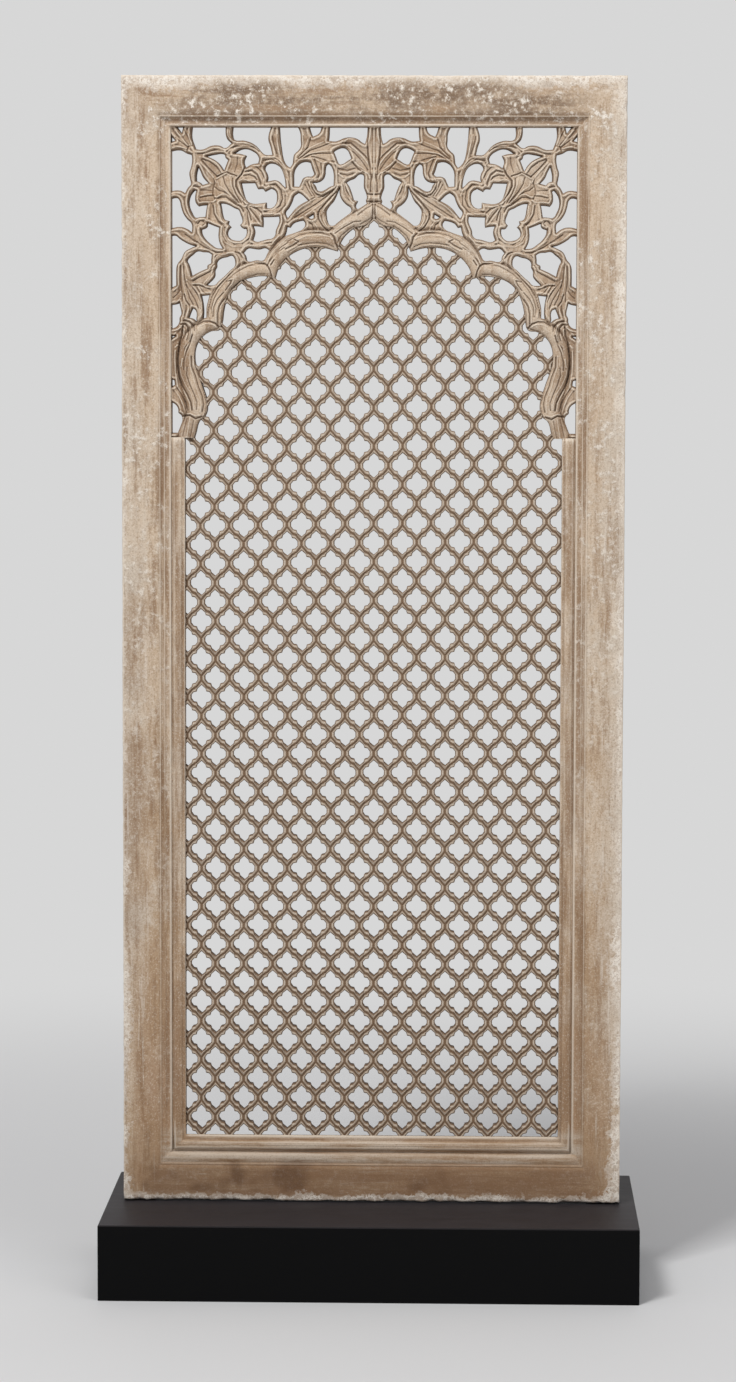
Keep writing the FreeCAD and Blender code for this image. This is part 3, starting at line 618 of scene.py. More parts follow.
# The lines cut into the foliage: each is its depth in millimetres, raised if negative, its half
# width in millimetres and the points that it runs through, in thousandths as above.
CARVED_LINES = (
    (-1.6, 1.1, 778, 837, 751, 847, 727, 854, 707, 846, 690, 845),
    (2.4, 1, 776, 843, 751, 852, 729, 858, 713, 853, 693, 849, 678, 845),
    (3.4, 1.1, 636, 876, 656, 850, 681, 831, 682, 812, 666, 791, 641, 767),
    (-1.4, 1.2, 658, 825, 649, 802, 630, 771),
    (1.9, 1.1, 698, 837, 697, 812, 682, 787, 656, 758),
    (-1.2, 1.1, 713, 843, 707, 818, 690, 789, 662, 758),
    (1.9, 1.1, 745, 841, 737, 820, 713, 794, 666, 758),
    (-1.3, 1.1, 774, 828, 766, 812, 741, 802, 713, 784, 678, 761),
    (1.8, 1.1, 787, 810, 768, 799, 741, 794, 713, 780),
    (-1.8, 1.2, 788, 778, 776, 777, 753, 786, 729, 786, 705, 776, 682, 763, 662, 753),
    (2.2, 1.1, 778, 771, 757, 777, 731, 777, 703, 764, 674, 749),
    (-1.5, 1.1, 859, 890, 828, 868, 796, 843, 780, 823),
    (2.2, 1, 853, 897, 816, 870, 776, 844),
    (-1.4, 1.1, 863, 907, 820, 902, 780, 889, 757, 872, 741, 858),
    (1.6, 1, 849, 900, 812, 892, 776, 874, 757, 856),
    (-1.4, 1.1, 863, 881, 839, 851, 816, 825, 798, 821),
    (1.8, 1.1, 792, 837, 787, 823, 795, 807, 798, 787, 787, 772),
    (-1, 1.3, 697, 900, 701, 880, 713, 864),
    (1.2, 1.4, 674, 908, 676, 885, 689, 859),
    (-1.2, 1, 640, 913, 630, 910, 639, 900, 641, 880),
    (-1.3, 1.1, 630, 866, 599, 869, 571, 856, 555, 833, 547, 815),
    (1.8, 1, 636, 860, 603, 863, 577, 850, 561, 825, 559, 813),
    (-1.3, 1.1, 642, 853, 607, 856, 581, 843, 567, 823),
    (1.8, 1, 644, 846, 618, 849, 591, 843, 577, 833),
    (-1.8, 1.2, 666, 830, 646, 837, 618, 828, 591, 825, 577, 829),
    (1.6, 1.1, 611, 877, 579, 874, 555, 859, 538, 833, 540, 815),
    (-1.3, 1.1, 857, 781, 824, 786, 799, 787),
    (1.7, 1, 859, 775, 824, 780, 800, 781),
    (-1.8, 1.3, 875, 771, 864, 758, 836, 761, 796, 761, 776, 771),
    (1.5, 1.1, 855, 799, 828, 799, 804, 797),
    (2, 1, 796, 750, 791, 723, 769, 697, 753, 688),
    (-1.5, 1.1, 787, 750, 783, 724, 761, 701, 741, 691),
    (-1.2, 1.1, 761, 749, 750, 725, 734, 704, 713, 698),
    (1.4, 1, 772, 750, 765, 724, 745, 701),
    (-1.2, 1.1, 821, 748, 826, 724, 824, 704, 796, 691, 765, 683),
    (2.4, 1.1, 671, 750, 658, 745, 644, 730),
    (-1.5, 1.2, 658, 758, 652, 748, 634, 745, 622, 758),
    (2, 1, 648, 763, 638, 753, 618, 750, 607, 758),
    (-1.3, 1, 622, 738, 599, 718, 563, 686),
    (1.8, 0.9, 613, 739, 587, 719, 557, 691),
    (-1.3, 1, 605, 744, 579, 729, 551, 698),
    (2.4, 1, 630, 744, 618, 729, 607, 703),
    (2.2, 1, 610, 747, 579, 740, 555, 726, 545, 704),
    (-1.2, 1, 607, 758, 579, 756, 555, 758, 534, 762),
    (1.4, 1, 603, 752, 575, 751, 547, 751),
    (1.9, 1, 626, 728, 623, 707, 618, 686),
    (-1.2, 1, 640, 730, 644, 707, 653, 686),
    (-1.4, 1.1, 719, 684, 728, 668, 709, 644, 678, 634, 644, 639, 624, 657, 618, 673),
    (1.9, 1, 737, 678, 740, 657, 721, 635, 690, 624, 650, 627, 618, 642),
    (-1.2, 1.1, 752, 681, 757, 657, 737, 630, 698, 616, 650, 618, 618, 634, 603, 657),
    (-1.6, 1.6, 887, 819, 875, 825, 857, 823, 851, 814),
    (1.8, 1.1, 893, 812, 875, 810, 859, 810),
    (-1.3, 1.2, 899, 812, 921, 792, 926, 758, 915, 724, 889, 700),
    (1.5, 1, 909, 797, 915, 758, 903, 727, 883, 706),
    (-1.8, 1.4, 883, 697, 869, 708, 842, 709, 823, 696, 831, 683),
    (2, 1, 871, 691, 861, 700, 846, 700, 838, 691, 850, 683),
    (-1.3, 1.1, 879, 688, 871, 660, 836, 633, 796, 615, 765, 607),
    (1.7, 1, 861, 680, 850, 655, 816, 630, 777, 615),
    (-1.2, 1.1, 935, 646, 903, 634, 863, 624),
    (1.5, 1, 935, 656, 907, 644, 875, 630),
    (-1.3, 1.1, 875, 925, 839, 925, 800, 936, 764, 938, 737, 932),
    (1.7, 1.1, 871, 917, 831, 919, 788, 929, 745, 927),
    (-1.3, 1.1, 721, 978, 714, 963, 700, 955, 658, 954, 611, 949, 579, 938, 555, 920, 536, 910),
    (1.8, 1, 729, 925, 709, 936, 682, 942, 634, 941, 595, 938, 567, 925),
    (-1.2, 1, 731, 916, 715, 927, 689, 935, 658, 938),
    (-1.6, 1.2, 725, 917, 713, 912, 701, 914),
    (-1.5, 1.1, 557, 899, 563, 889, 549, 879, 524, 883, 519, 890, 536, 891),
    (-1.4, 1.1, 557, 904, 516, 910, 477, 904, 445, 882, 427, 851),
    (1.9, 1, 546, 896, 506, 900, 475, 889, 446, 864, 433, 838),
    (-1.2, 1.1, 488, 978, 481, 952, 467, 915),
    (1.6, 1, 475, 978, 469, 952, 459, 916),
    (1.3, 1, 502, 973, 494, 947, 480, 918),
    (-1.3, 1.1, 516, 823, 482, 828, 449, 811, 428, 782),
    (1.7, 1.1, 514, 815, 486, 819, 459, 800, 451, 771, 465, 748, 496, 735, 540, 730),
    (-1.3, 1.1, 524, 802, 496, 811, 473, 796, 469, 771, 488, 748, 524, 737, 553, 734),
    (1.4, 1.1, 439, 782, 439, 751, 469, 729, 508, 718, 545, 720),
    (-1.2, 1.1, 437, 720, 436, 691, 461, 655, 504, 624, 555, 620, 607, 619),
    (1.5, 1, 450, 720, 450, 694, 470, 659, 508, 630, 555, 627, 607, 626),
    (2.8, 1.1, 27, 1000, 33, 957, 29, 911, 15, 850),
    (-1, 1.3, 16, 998, 20, 954, 18, 911, 5, 856),
    (1.1, 1.2, 6, 1003, 5, 940, 6, 888),
    (-1.5, 1.1, 9, 863, 2, 847, 8, 824, 9, 801),
    (2, 1, 7, 871, 8, 853, 16, 824, 16, 795),
    (-1.3, 1.1, 40, 842, 40, 807, 26, 790),
    (1.4, 1, 8, 842, 7, 801),
    (-1.5, 1.1, 161, 942, 131, 967, 87, 968, 40, 951),
    (2.2, 1, 153, 952, 113, 952, 78, 932, 42, 910, 27, 897),
    (-1.8, 1.1, 157, 945, 121, 946, 86, 928, 51, 905, 25, 881, 13, 852),
    (1.5, 1.1, 131, 937, 95, 920, 60, 894, 29, 865),
    (-1.6, 1.1, 108, 899, 77, 879, 42, 864, 19, 846),
    (2.3, 1, 111, 893, 77, 868, 49, 856),
    (-1.3, 1.1, 178, 884, 157, 879, 112, 894),
    (-1.7, 1.2, 174, 853, 152, 841, 121, 839, 86, 850, 56, 862, 29, 853, 21, 839),
    (1.8, 1, 175, 869, 130, 864, 91, 871),
    (-1.2, 1, 172, 861, 134, 856, 86, 864),
    (1.6, 1, 166, 853, 130, 848, 91, 856),
    (3, 1, 35, 787, 7, 786),
    (-1.6, 2.2, 31, 775, 7, 775),
    (3, 1, 35, 763, 7, 763),
    (-1.4, 1.1, 160, 824, 152, 795, 139, 772, 104, 752, 86, 726),
    (1.9, 1, 146, 824, 135, 798, 112, 772, 86, 758),
    (-1.3, 1, 130, 824, 113, 798, 95, 772, 73, 767),
    (-1.2, 1, 121, 827, 107, 795, 90, 769),
    (2, 0.9, 375, 904, 327, 938, 312, 970),
    (-1.3, 1, 382, 899, 338, 928, 294, 944, 250, 956),
    (2, 0.9, 369, 902, 316, 928, 263, 940, 210, 954),
    (-1.3, 1, 373, 896, 325, 916, 263, 925, 192, 928),
    (1.9, 0.9, 356, 902, 307, 916, 254, 919, 201, 919),
    (-1.5, 1, 320, 905, 289, 902, 263, 891, 228, 887, 190, 884),
    (1.9, 0.9, 307, 909, 263, 902, 232, 895, 192, 892),
    (1.7, 0.9, 349, 974, 345, 951, 351, 931),
    (-1.2, 1, 331, 992, 324, 969, 340, 937),
    (-1.4, 1, 351, 899, 311, 902, 298, 879, 284, 853, 291, 830),
    (1.8, 0.9, 294, 899, 280, 876, 269, 853, 280, 830),
    (1.3, 0.9, 263, 885, 258, 862, 263, 839),
    (-1.5, 1.1, 355, 818, 337, 839, 311, 839, 297, 835),
    (-1.7, 1, 306, 835, 301, 812, 280, 792, 253, 787, 205, 810, 191, 813),
    (2.2, 0.9, 313, 827, 305, 804, 285, 787, 254, 779, 218, 795),
    (1.4, 0.9, 340, 818, 324, 798, 307, 781),
    (1.3, 0.9, 329, 827, 316, 804, 293, 781),
    (-1.5, 1.1, 413, 714, 351, 749, 285, 776, 227, 795, 192, 811),
    (1.9, 0.9, 391, 711, 329, 737, 276, 759, 232, 781, 199, 803),
    (1.5, 0.9, 413, 720, 355, 753, 293, 776, 263, 778),
    (-1.3, 1, 368, 705, 307, 734, 254, 758, 210, 787, 179, 808),
    (3, 0.9, 275, 720, 269, 735, 232, 762, 185, 795),
    (-1.5, 1, 262, 720, 254, 735, 218, 758, 179, 795),
    (1.8, 0.9, 238, 717, 240, 735, 210, 761),
    (-1.3, 1.1, 199, 911, 183, 882, 185, 847, 179, 813),
    (1.4, 1, 439, 865, 422, 824, 413, 801),
    (-1.3, 1.1, 391, 865, 400, 836, 400, 807),
    (-1.3, 1.1, 439, 899, 417, 873, 408, 841, 406, 810),
    (-1.5, 1, 437, 641, 375, 661, 322, 668, 261, 667, 215, 661),
    (1.6, 0.9, 428, 633, 371, 653, 318, 661, 261, 661, 216, 653),
    (3, 1.1, 214, 659, 196, 648, 188, 627, 174, 610),
    (-1.4, 1.2, 202, 664, 183, 648, 174, 627, 168, 613),
    (1.8, 1, 192, 659, 146, 680, 102, 696, 66, 699),
    (-1.2, 1.1, 199, 669, 172, 683, 133, 697),
    (-1.3, 1, 172, 614, 162, 633, 135, 659, 102, 676),
    (1.5, 0.9, 179, 630, 161, 652, 128, 671, 97, 683),
    (2.2, 1.1, 437, 608, 398, 621, 372, 633, 393, 640),
    (-1.2, 1.1, 428, 602, 389, 616, 358, 629),
    (2.6, 1.1, 509, 557, 494, 572),
    (1.6, 1, 530, 552, 508, 575, 477, 598, 442, 613),
    (-1.2, 1.1, 380, 638, 340, 650, 278, 656, 221, 650, 203, 641),
    (-1.3, 1, 411, 598, 375, 614, 322, 621, 278, 622, 234, 618, 189, 604),
    (1.4, 0.9, 375, 621, 322, 627, 278, 629, 234, 626, 199, 616),
    (-1.4, 1, 530, 563, 508, 595, 473, 618, 433, 641),
    (1.6, 0.9, 517, 569, 495, 592, 459, 614, 424, 630),
    (3, 1.1, 588, 563, 548, 562, 526, 555, 512, 537, 506, 520),
    (-1.4, 1, 80, 728, 36, 752, 9, 759),
    (1.7, 1, 80, 719, 36, 742, 9, 752),
    (3, 1.2, 6, 754, 5, 726, 9, 700),
    (-1.2, 1.3, 9, 749, 13, 726, 0, 703),
    (-1.3, 1, 88, 680, 44, 688, 4, 700),
    (1.4, 0.9, 66, 690, 35, 700, 9, 712),
    (-1.5, 1, 327, 703, 305, 700, 283, 682, 276, 672),
    (2, 0.9, 318, 694, 305, 688, 298, 672),
    (-1.5, 1, 272, 726, 263, 700, 238, 677, 212, 668),
    (2.2, 0.9, 276, 730, 273, 706, 252, 682, 225, 667),
    (1.9, 0.9, 247, 726, 243, 703, 225, 682, 199, 674),
    (-1.3, 1, 300, 668, 261, 666, 212, 665),
    (-1.4, 1, 813, 388, 819, 420, 806, 451, 781, 483, 749, 508, 702, 536, 670, 546, 623, 560, 575,
     566, 538, 568),
    (1.6, 0.9, 799, 388, 805, 417, 792, 447, 768, 476, 737, 501, 692, 528, 661, 540, 620, 554, 575,
     559, 538, 561),
    (1.8, 1, 794, 390, 792, 420, 775, 444, 743, 467),
    (-1.3, 1, 781, 370, 782, 407, 770, 430, 749, 451),
    (2.2, 0.9, 772, 360, 772, 399, 764, 422, 743, 445),
    (-1.3, 1, 760, 358, 760, 399, 751, 426, 734, 445),
    (-1.3, 1, 748, 361, 748, 407, 733, 440, 702, 473, 661, 496, 623, 512, 575, 521, 538, 521),
    (1.4, 0.9, 756, 413, 741, 442, 711, 474, 670, 499, 626, 517, 575, 527, 538, 527),
    (-1.4, 1.1, 724, 508, 692, 513, 699, 496, 721, 481),
    (1.8, 1, 730, 503, 705, 505, 713, 492, 734, 474),
    (3, 1.1, 876, 362, 844, 373, 813, 373, 784, 366, 765, 352),
    (-1.2, 1.1, 863, 357, 832, 365, 800, 363, 781, 355),
    (-1.3, 1, 832, 323, 806, 336, 762, 347),
    (1.5, 0.9, 845, 328, 813, 342, 772, 350),
    (-1.5, 1.1, 939, 382, 908, 380, 879, 365),
    (2, 1, 943, 375, 914, 373, 892, 357, 889, 343),
    (-1.5, 1.1, 961, 369, 930, 371, 908, 361, 904, 336, 911, 312),
    (2.4, 1, 957, 363, 935, 364, 921, 353, 919, 330, 927, 312),
    (-1.2, 1, 984, 342, 955, 353, 940, 347, 940, 326),
    (2.4, 1, 940, 461, 930, 440, 912, 424, 913, 403),
    (-1.5, 1, 929, 508, 907, 492, 882, 475, 863, 456, 847, 429, 844, 409, 856, 388),
    (2, 0.9, 923, 503, 898, 484, 874, 461, 860, 438, 859, 413),
    (1.6, 0.9, 930, 492, 908, 467, 886, 444, 870, 417, 867, 392),
    (-1.3, 1, 967, 560, 971, 523, 967, 492, 977, 471),
    (1.9, 0.9, 957, 554, 959, 512, 954, 481, 948, 460, 949, 438),
    (1.7, 0.9, 942, 550, 937, 512, 926, 481, 913, 450, 894, 427),
    (-1.2, 1, 950, 567, 948, 533, 944, 492, 933, 459),
    (-1.3, 1, 926, 569, 915, 544, 910, 521, 901, 510),
    (-1.4, 1, 904, 508, 866, 527, 828, 539, 806, 548),
    (1.6, 0.9, 895, 505, 860, 518, 828, 529, 800, 540),
    (-1.7, 1, 897, 496, 863, 496, 831, 488, 812, 483, 787, 490),
    (2.2, 0.9, 895, 490, 863, 490, 832, 481, 813, 478),
    (1.7, 0.9, 838, 494, 819, 509, 800, 525, 790, 540),
    (1.9, 0.9, 885, 492, 865, 471, 851, 454),
    (1.4, 0.9, 863, 486, 847, 471, 832, 463),
    (-2, 1.6, 813, 553, 806, 554),
    (1.6, 0.9, 798, 555, 786, 558, 778, 555),
    (-1.2, 1.1, 951, 579, 929, 599, 891, 612, 866, 616),
    (1.4, 1, 930, 583, 914, 595, 885, 603, 850, 604, 813, 598),
    (-1.3, 1.1, 857, 637, 831, 625, 800, 610, 768, 604, 737, 606),
    (1.8, 1, 876, 631, 844, 617, 806, 603, 775, 597, 749, 598),
    (-1.2, 1.1, 794, 565, 793, 583, 781, 592, 749, 596, 705, 597),
    (1.5, 1, 781, 567, 779, 579, 762, 586, 718, 589),
    (-1.4, 1.1, 699, 598, 673, 593, 658, 575, 654, 559, 670, 544),
    (2, 1, 686, 599, 662, 593, 643, 575, 640, 561),
    (-1.2, 1, 670, 602, 648, 593, 631, 575, 626, 565),
    (-1.2, 1, 993, 471, 974, 484, 966, 492),
    (1.4, 1, 993, 450, 974, 461, 960, 475),
    (-1.2, 1, 990, 428, 971, 437, 958, 450),
    (-1.3, 1, 957, 392, 951, 413, 956, 434),
    (1.5, 0.9, 939, 392, 930, 411, 930, 426),
    (3.2, 1.1, 946, 358, 950, 328, 962, 306, 970, 269, 972, 225, 966, 193, 948, 160, 924, 133, 907,
     109, 901, 83),
    (-1.6, 1.1, 932, 371, 907, 355, 901, 336, 915, 307, 936, 279, 950, 249, 955, 225),
    (2.2, 1, 911, 309, 935, 287, 946, 255),
    (2, 1, 899, 328, 911, 299, 930, 271, 941, 242, 942, 215),
    (-1.5, 1.1, 881, 296, 893, 258, 893, 231, 870, 204, 857, 171, 836, 138, 828, 106, 833, 79, 853,
     60),
    (1.9, 1, 903, 258, 902, 226, 882, 193, 869, 161, 849, 128, 843, 101, 849, 79),
    (-1.2, 1, 911, 263, 910, 225, 893, 190, 879, 155, 860, 123, 855, 98, 860, 77),
    (1.8, 1, 924, 223, 927, 198, 911, 166, 891, 136, 876, 109, 878, 85),
    (-1.3, 1, 961, 225, 955, 198, 936, 169, 911, 142, 893, 114, 891, 87),
    (-1.5, 1.1, 990, 152, 964, 127, 944, 98, 935, 76),
    (2, 1, 981, 160, 953, 133, 932, 106, 922, 82),
    (-1.2, 1, 985, 277, 985, 242, 983, 204, 973, 171),
    (1.5, 0.9, 978, 274, 978, 236, 977, 204),
    (-1.8, 1.5, 967, 76, 957, 79, 947, 73),
    (2.8, 1.1, 948, 63, 912, 66, 883, 55, 852, 62),
    (-1.5, 1.3, 942, 71, 912, 72, 883, 64, 858, 66),
    (1.4, 1.1, 927, 55, 938, 28, 947, -2),
    (-1.1, 1.2, 912, 55, 918, 28, 927, -8),
    (1.3, 1.1, 893, 49, 899, 25, 912, -10),
    (-1.3, 1, 866, 49, 877, 22, 891, -5),
    (-1.3, 1.1, 996, 323, 985, 334, 965, 347, 946, 361),
    (1.6, 1, 969, 309, 956, 323, 952, 342),
    (-1.2, 1.1, 985, 288, 973, 296, 961, 290),
    (-1.3, 0.9, 985, 994, 954, 969, 921, 944),
    (1.8, 0.8, 969, 990, 943, 969, 917, 947),
    (-1.3, 0.9, 957, 978, 931, 960, 909, 941),
    (1.7, 0.8, 980, 969, 950, 953, 921, 939),
    (-1.2, 0.9, 992, 944, 964, 941, 926, 933),
    (1.5, 0.8, 983, 935, 954, 933, 926, 930),
    (1.7, 0.8, 938, 994, 921, 972, 907, 947),
    (-1.2, 0.9, 916, 1000, 906, 975, 900, 950),
    (-2, 1.5, 914, 929, 902, 919),
    (2, 1, 926, 924, 917, 941, 888, 944, 879, 932),
    (-1.3, 1, 727, 994, 720, 972, 699, 957, 652, 960, 599, 944, 566, 929),
    (1.6, 0.9, 711, 997, 701, 975, 685, 963),
)
# The fuller forms: how far each stands out, or sinks if negative, its reach and its middle, in
# the same measures.
SWELLS = (
    (2.6, 13, 715, 820), (2.0, 5, 636, 750), (1.8, 8, 612, 857), (1.2, 7, 505, 790),
    (-1.2, 7, 675, 882), (1.2, 6, 790, 700), (1.0, 6, 820, 795), (2.2, 9, 0, 830),
    (1.6, 8, 0, 900), (1.4, 8, 0, 960), (1.2, 7, 120, 900), (1.4, 9, 235, 760), (1.2, 7, 340, 845),
    (1.4, 8, 935, 530), (1.0, 6, 870, 560), (1.2, 6, 950, 960),
)
# In millimetres: how far in the edges of the foliage are rounded over and how far it stands
# forward, how much petals sink inside their edges, how far before the end of the rounding that
# starts and how wide its slope is, how far the arch's band stands forward and how wide the crease
# is beside it.
EDGE_ROUND = 4.4
FOLIAGE_RISE = 6.4
PETAL_HOLLOW, HOLLOW_LAP, HOLLOW_SLOPE = 2.1, 0.6, 4
BAND_RISE = 8.4
BAND_CREASE = 5.0
# The powers that flatten the rounding of the foliage and of the band.
FOLIAGE_FULLNESS, BAND_FULLNESS = 0.8, 0.6


def polyline_distance(points, line):
    """How far each of many points is from a line through some others."""
    nearest = np.full(len(points), 1e9)
    for start, end in zip(line, line[1:]):
        along = end - start
        share = np.clip(((points - start) @ along) / (along @ along), 0, 1)
        gap = points - start - share[:, None] * along
        nearest = np.minimum(nearest, np.hypot(gap[:, 0], gap[:, 1]))
    return nearest


def inside(points, polygon):
    """Whether each of many points lies in a closed outline."""
    odd = np.zeros(len(points), bool)
    for (x0, z0), (x1, z1) in zip(polygon, np.roll(polygon, -1, axis=0)):
        if z0 == z1:
            continue
        spans = (points[:, 1] > min(z0, z1)) & (points[:, 1] <= max(z0, z1))
        crossing = x0 + (points[:, 1] - z0) * (x1 - x0) / (z1 - z0)
        odd ^= spans & (points[:, 0] < crossing)
    return odd


def smooth_step(value):
    """Ease from nought to one."""
    value = np.clip(value, 0, 1)
    return value * value * (3 - 2 * value)


def rounded(value, fullness):
    """Rise from nought to one as the side of a round does, the fuller the smaller the power."""
    return np.sin(np.pi / 2 * np.clip(value, 0, 1)) ** fullness


outer = np.array(from_shares(ARCH_OUTER_SHARES)) / MM
inner = np.array(from_shares(ARCH_INNER_SHARES)) / MM
band_outline = np.vstack((outer, inner[::-1]))


def relief(points, edge_gap):
    """How far the carved face stands forward, in millimetres, at points of its right half."""
    to_outer = polyline_distance(points, outer)
    to_inner = polyline_distance(points, inner)
    rise = FOLIAGE_RISE * rounded(edge_gap / EDGE_ROUND, FOLIAGE_FULLNESS)
    rise -= PETAL_HOLLOW * smooth_step((edge_gap - EDGE_ROUND + HOLLOW_LAP) / HOLLOW_SLOPE)
    for height, reach, *share in SWELLS:
        gap = points - np.array(from_shares(share)[0]) / MM
        rise += height * np.exp(-(gap ** 2).sum(1) / reach ** 2) * np.clip(edge_gap / 3, 0, 1)
    rise *= 0.4 + 0.6 * smooth_step(to_outer / BAND_CREASE)
    middle = 1 - np.abs(2 * to_inner / (to_inner + to_outer + 1e-9) - 1)
    rise = np.where(inside(points, band_outline), BAND_RISE * rounded(middle, BAND_FULLNESS), rise)
    for depth, reach, *shares in CARVED_LINES:
        line = np.array(from_shares(shares)) / MM
        low, high = line.min(0) - 4 * reach, line.max(0) + 4 * reach
        near = np.flatnonzero(((points > low) & (points < high)).all(1))
        fall = np.exp(-(polyline_distance(points[near], line) / reach) ** 2)
        rise[near] -= depth * fall * np.clip(edge_gap[near], 0, 1)
    return rise


for carving in carvings:
    mesh = carving.data
    places = np.empty(len(mesh.vertices) * 3)
    mesh.vertices.foreach_get("co", places)
    places = places.reshape(-1, 3)
    front = np.flatnonzero(places[:, 1] < CARVING_BASE + 0.05 * MM)
    flat = np.column_stack((np.abs(places[front, 0]), places[front, 2])) / MM
    edge_gap = np.array([wall_tree.find_nearest(Vector(place))[3] for place in places[front]]) / MM
    grain = np.array([scattered(Vector(place), 75) for place in places[front]])
    places[front, 1] -= (relief(flat, edge_gap) + 0.3 * grain) * MM
    mesh.vertices.foreach_set("co", places.ravel())
    mesh.update()
    for face in mesh.polygons:
        face.use_smooth = abs(face.normal.y) > 0.02 and face.center.y < CARVING_BASE + 0.01 * MM

# The sandstone itself: buff stone under a thin brown patina, paler where edges were rubbed and
# brightened with a painted highlight, crusted with lime along the top and the outer edges, rusted
# at the foot and darker where dust lies in the cuts, with painted shade in the hollows, on the
# pierced walls, on the slopes to the openings and deeper in, and painted paler towards the head.
# One group weathers and shades every piece of it, each by its own shares.


def plug(tree, socket, source):
    """Link an input to a source, or set its value."""
    if isinstance(source, bpy.types.NodeSocket):
        tree.links.new(source, socket)
    else:
        socket.default_value = source


def node(tree, kind, sources=(), **settings):
    """Add a node, set its options and plug its inputs."""
    made_node = tree.nodes.new(kind)
    for key, value in settings.items():
        setattr(made_node, key, value)
    for socket, source in dict(sources).items():
        plug(tree, made_node.inputs[socket], source)
    return made_node


def noise_value(tree, place, scale, detail=4, roughness=0.55, stretch=None):
    """Cloudy noise, drawn out along an axis where a stretch is given."""
    if stretch:
        place = node(tree, "ShaderNodeMapping", {"Vector": place, "Scale": stretch}).outputs[0]
    return node(tree, "ShaderNodeTexNoise", {
        "Vector": place, "Scale": scale, "Detail": detail, "Roughness": roughness}).outputs["Fac"]


def ramp(tree, value, low, high):
    """Map a value to nought at low and one at high, eased."""
    return node(tree, "ShaderNodeMapRange", {
        "Value": value, "From Min": low, "From Max": high}, interpolation_type="SMOOTHSTEP"
    ).outputs["Result"]


def mix(tree, share, first, second):
    """Blend two colours."""
    made_node = node(tree, "ShaderNodeMix", data_type="RGBA")
    used = [socket for socket in made_node.inputs if socket.enabled]
    for socket, source in zip(used, (share, first, second)):
        plug(tree, socket, source)
    return next(socket for socket in made_node.outputs if socket.enabled)


def calc(tree, operation, *sources):
    """One sum."""
    return node(tree, "ShaderNodeMath", enumerate(sources), operation=operation).outputs[0]


STONE_PALE = (0.61, 0.475, 0.345, 1)
STONE_BUFF = (0.43, 0.29, 0.175, 1)
STONE_GREY = (0.61, 0.52, 0.42, 1)
STONE_BROWN = (0.26, 0.155, 0.085, 1)
STONE_STAIN = (0.19, 0.125, 0.08, 1)
STONE_OCHRE = (0.32, 0.17, 0.08, 1)
STONE_FOOT = (0.20, 0.107, 0.054, 1)
STONE_RUBBED_HIGHLIGHT = (0.76, 0.66, 0.54, 1)
STONE_CRUST = (0.86, 0.79, 0.70, 1)
STONE_DUST_AND_SHADE = (0.085, 0.052, 0.032, 1)
STONE_SHADE = (0.17, 0.11, 0.07, 1)
STONE_DARK_GREY_BROWN = (0.26, 0.20, 0.155, 1)
STONE_RUST = (0.115, 0.055, 0.026, 1)


def blended(tree, terms):
    """A weighted sum of values."""
    total = 0.0
    for value, weight in terms:
        total = calc(tree, "MULTIPLY_ADD", value, weight, total)
    return total


def product(tree, *values):
    """Several values multiplied together."""
    total = values[0]
    for value in values[1:]:
        total = calc(tree, "MULTIPLY", total, value)
    return total


# What each piece has its own share of, in the order in which the shares are given.
WEATHER_AND_SHADE_KINDS = ("Crust", "Patina", "Deep stain and shade", "Dust and shade", "Wall shade", "Skin", "Slope shade")


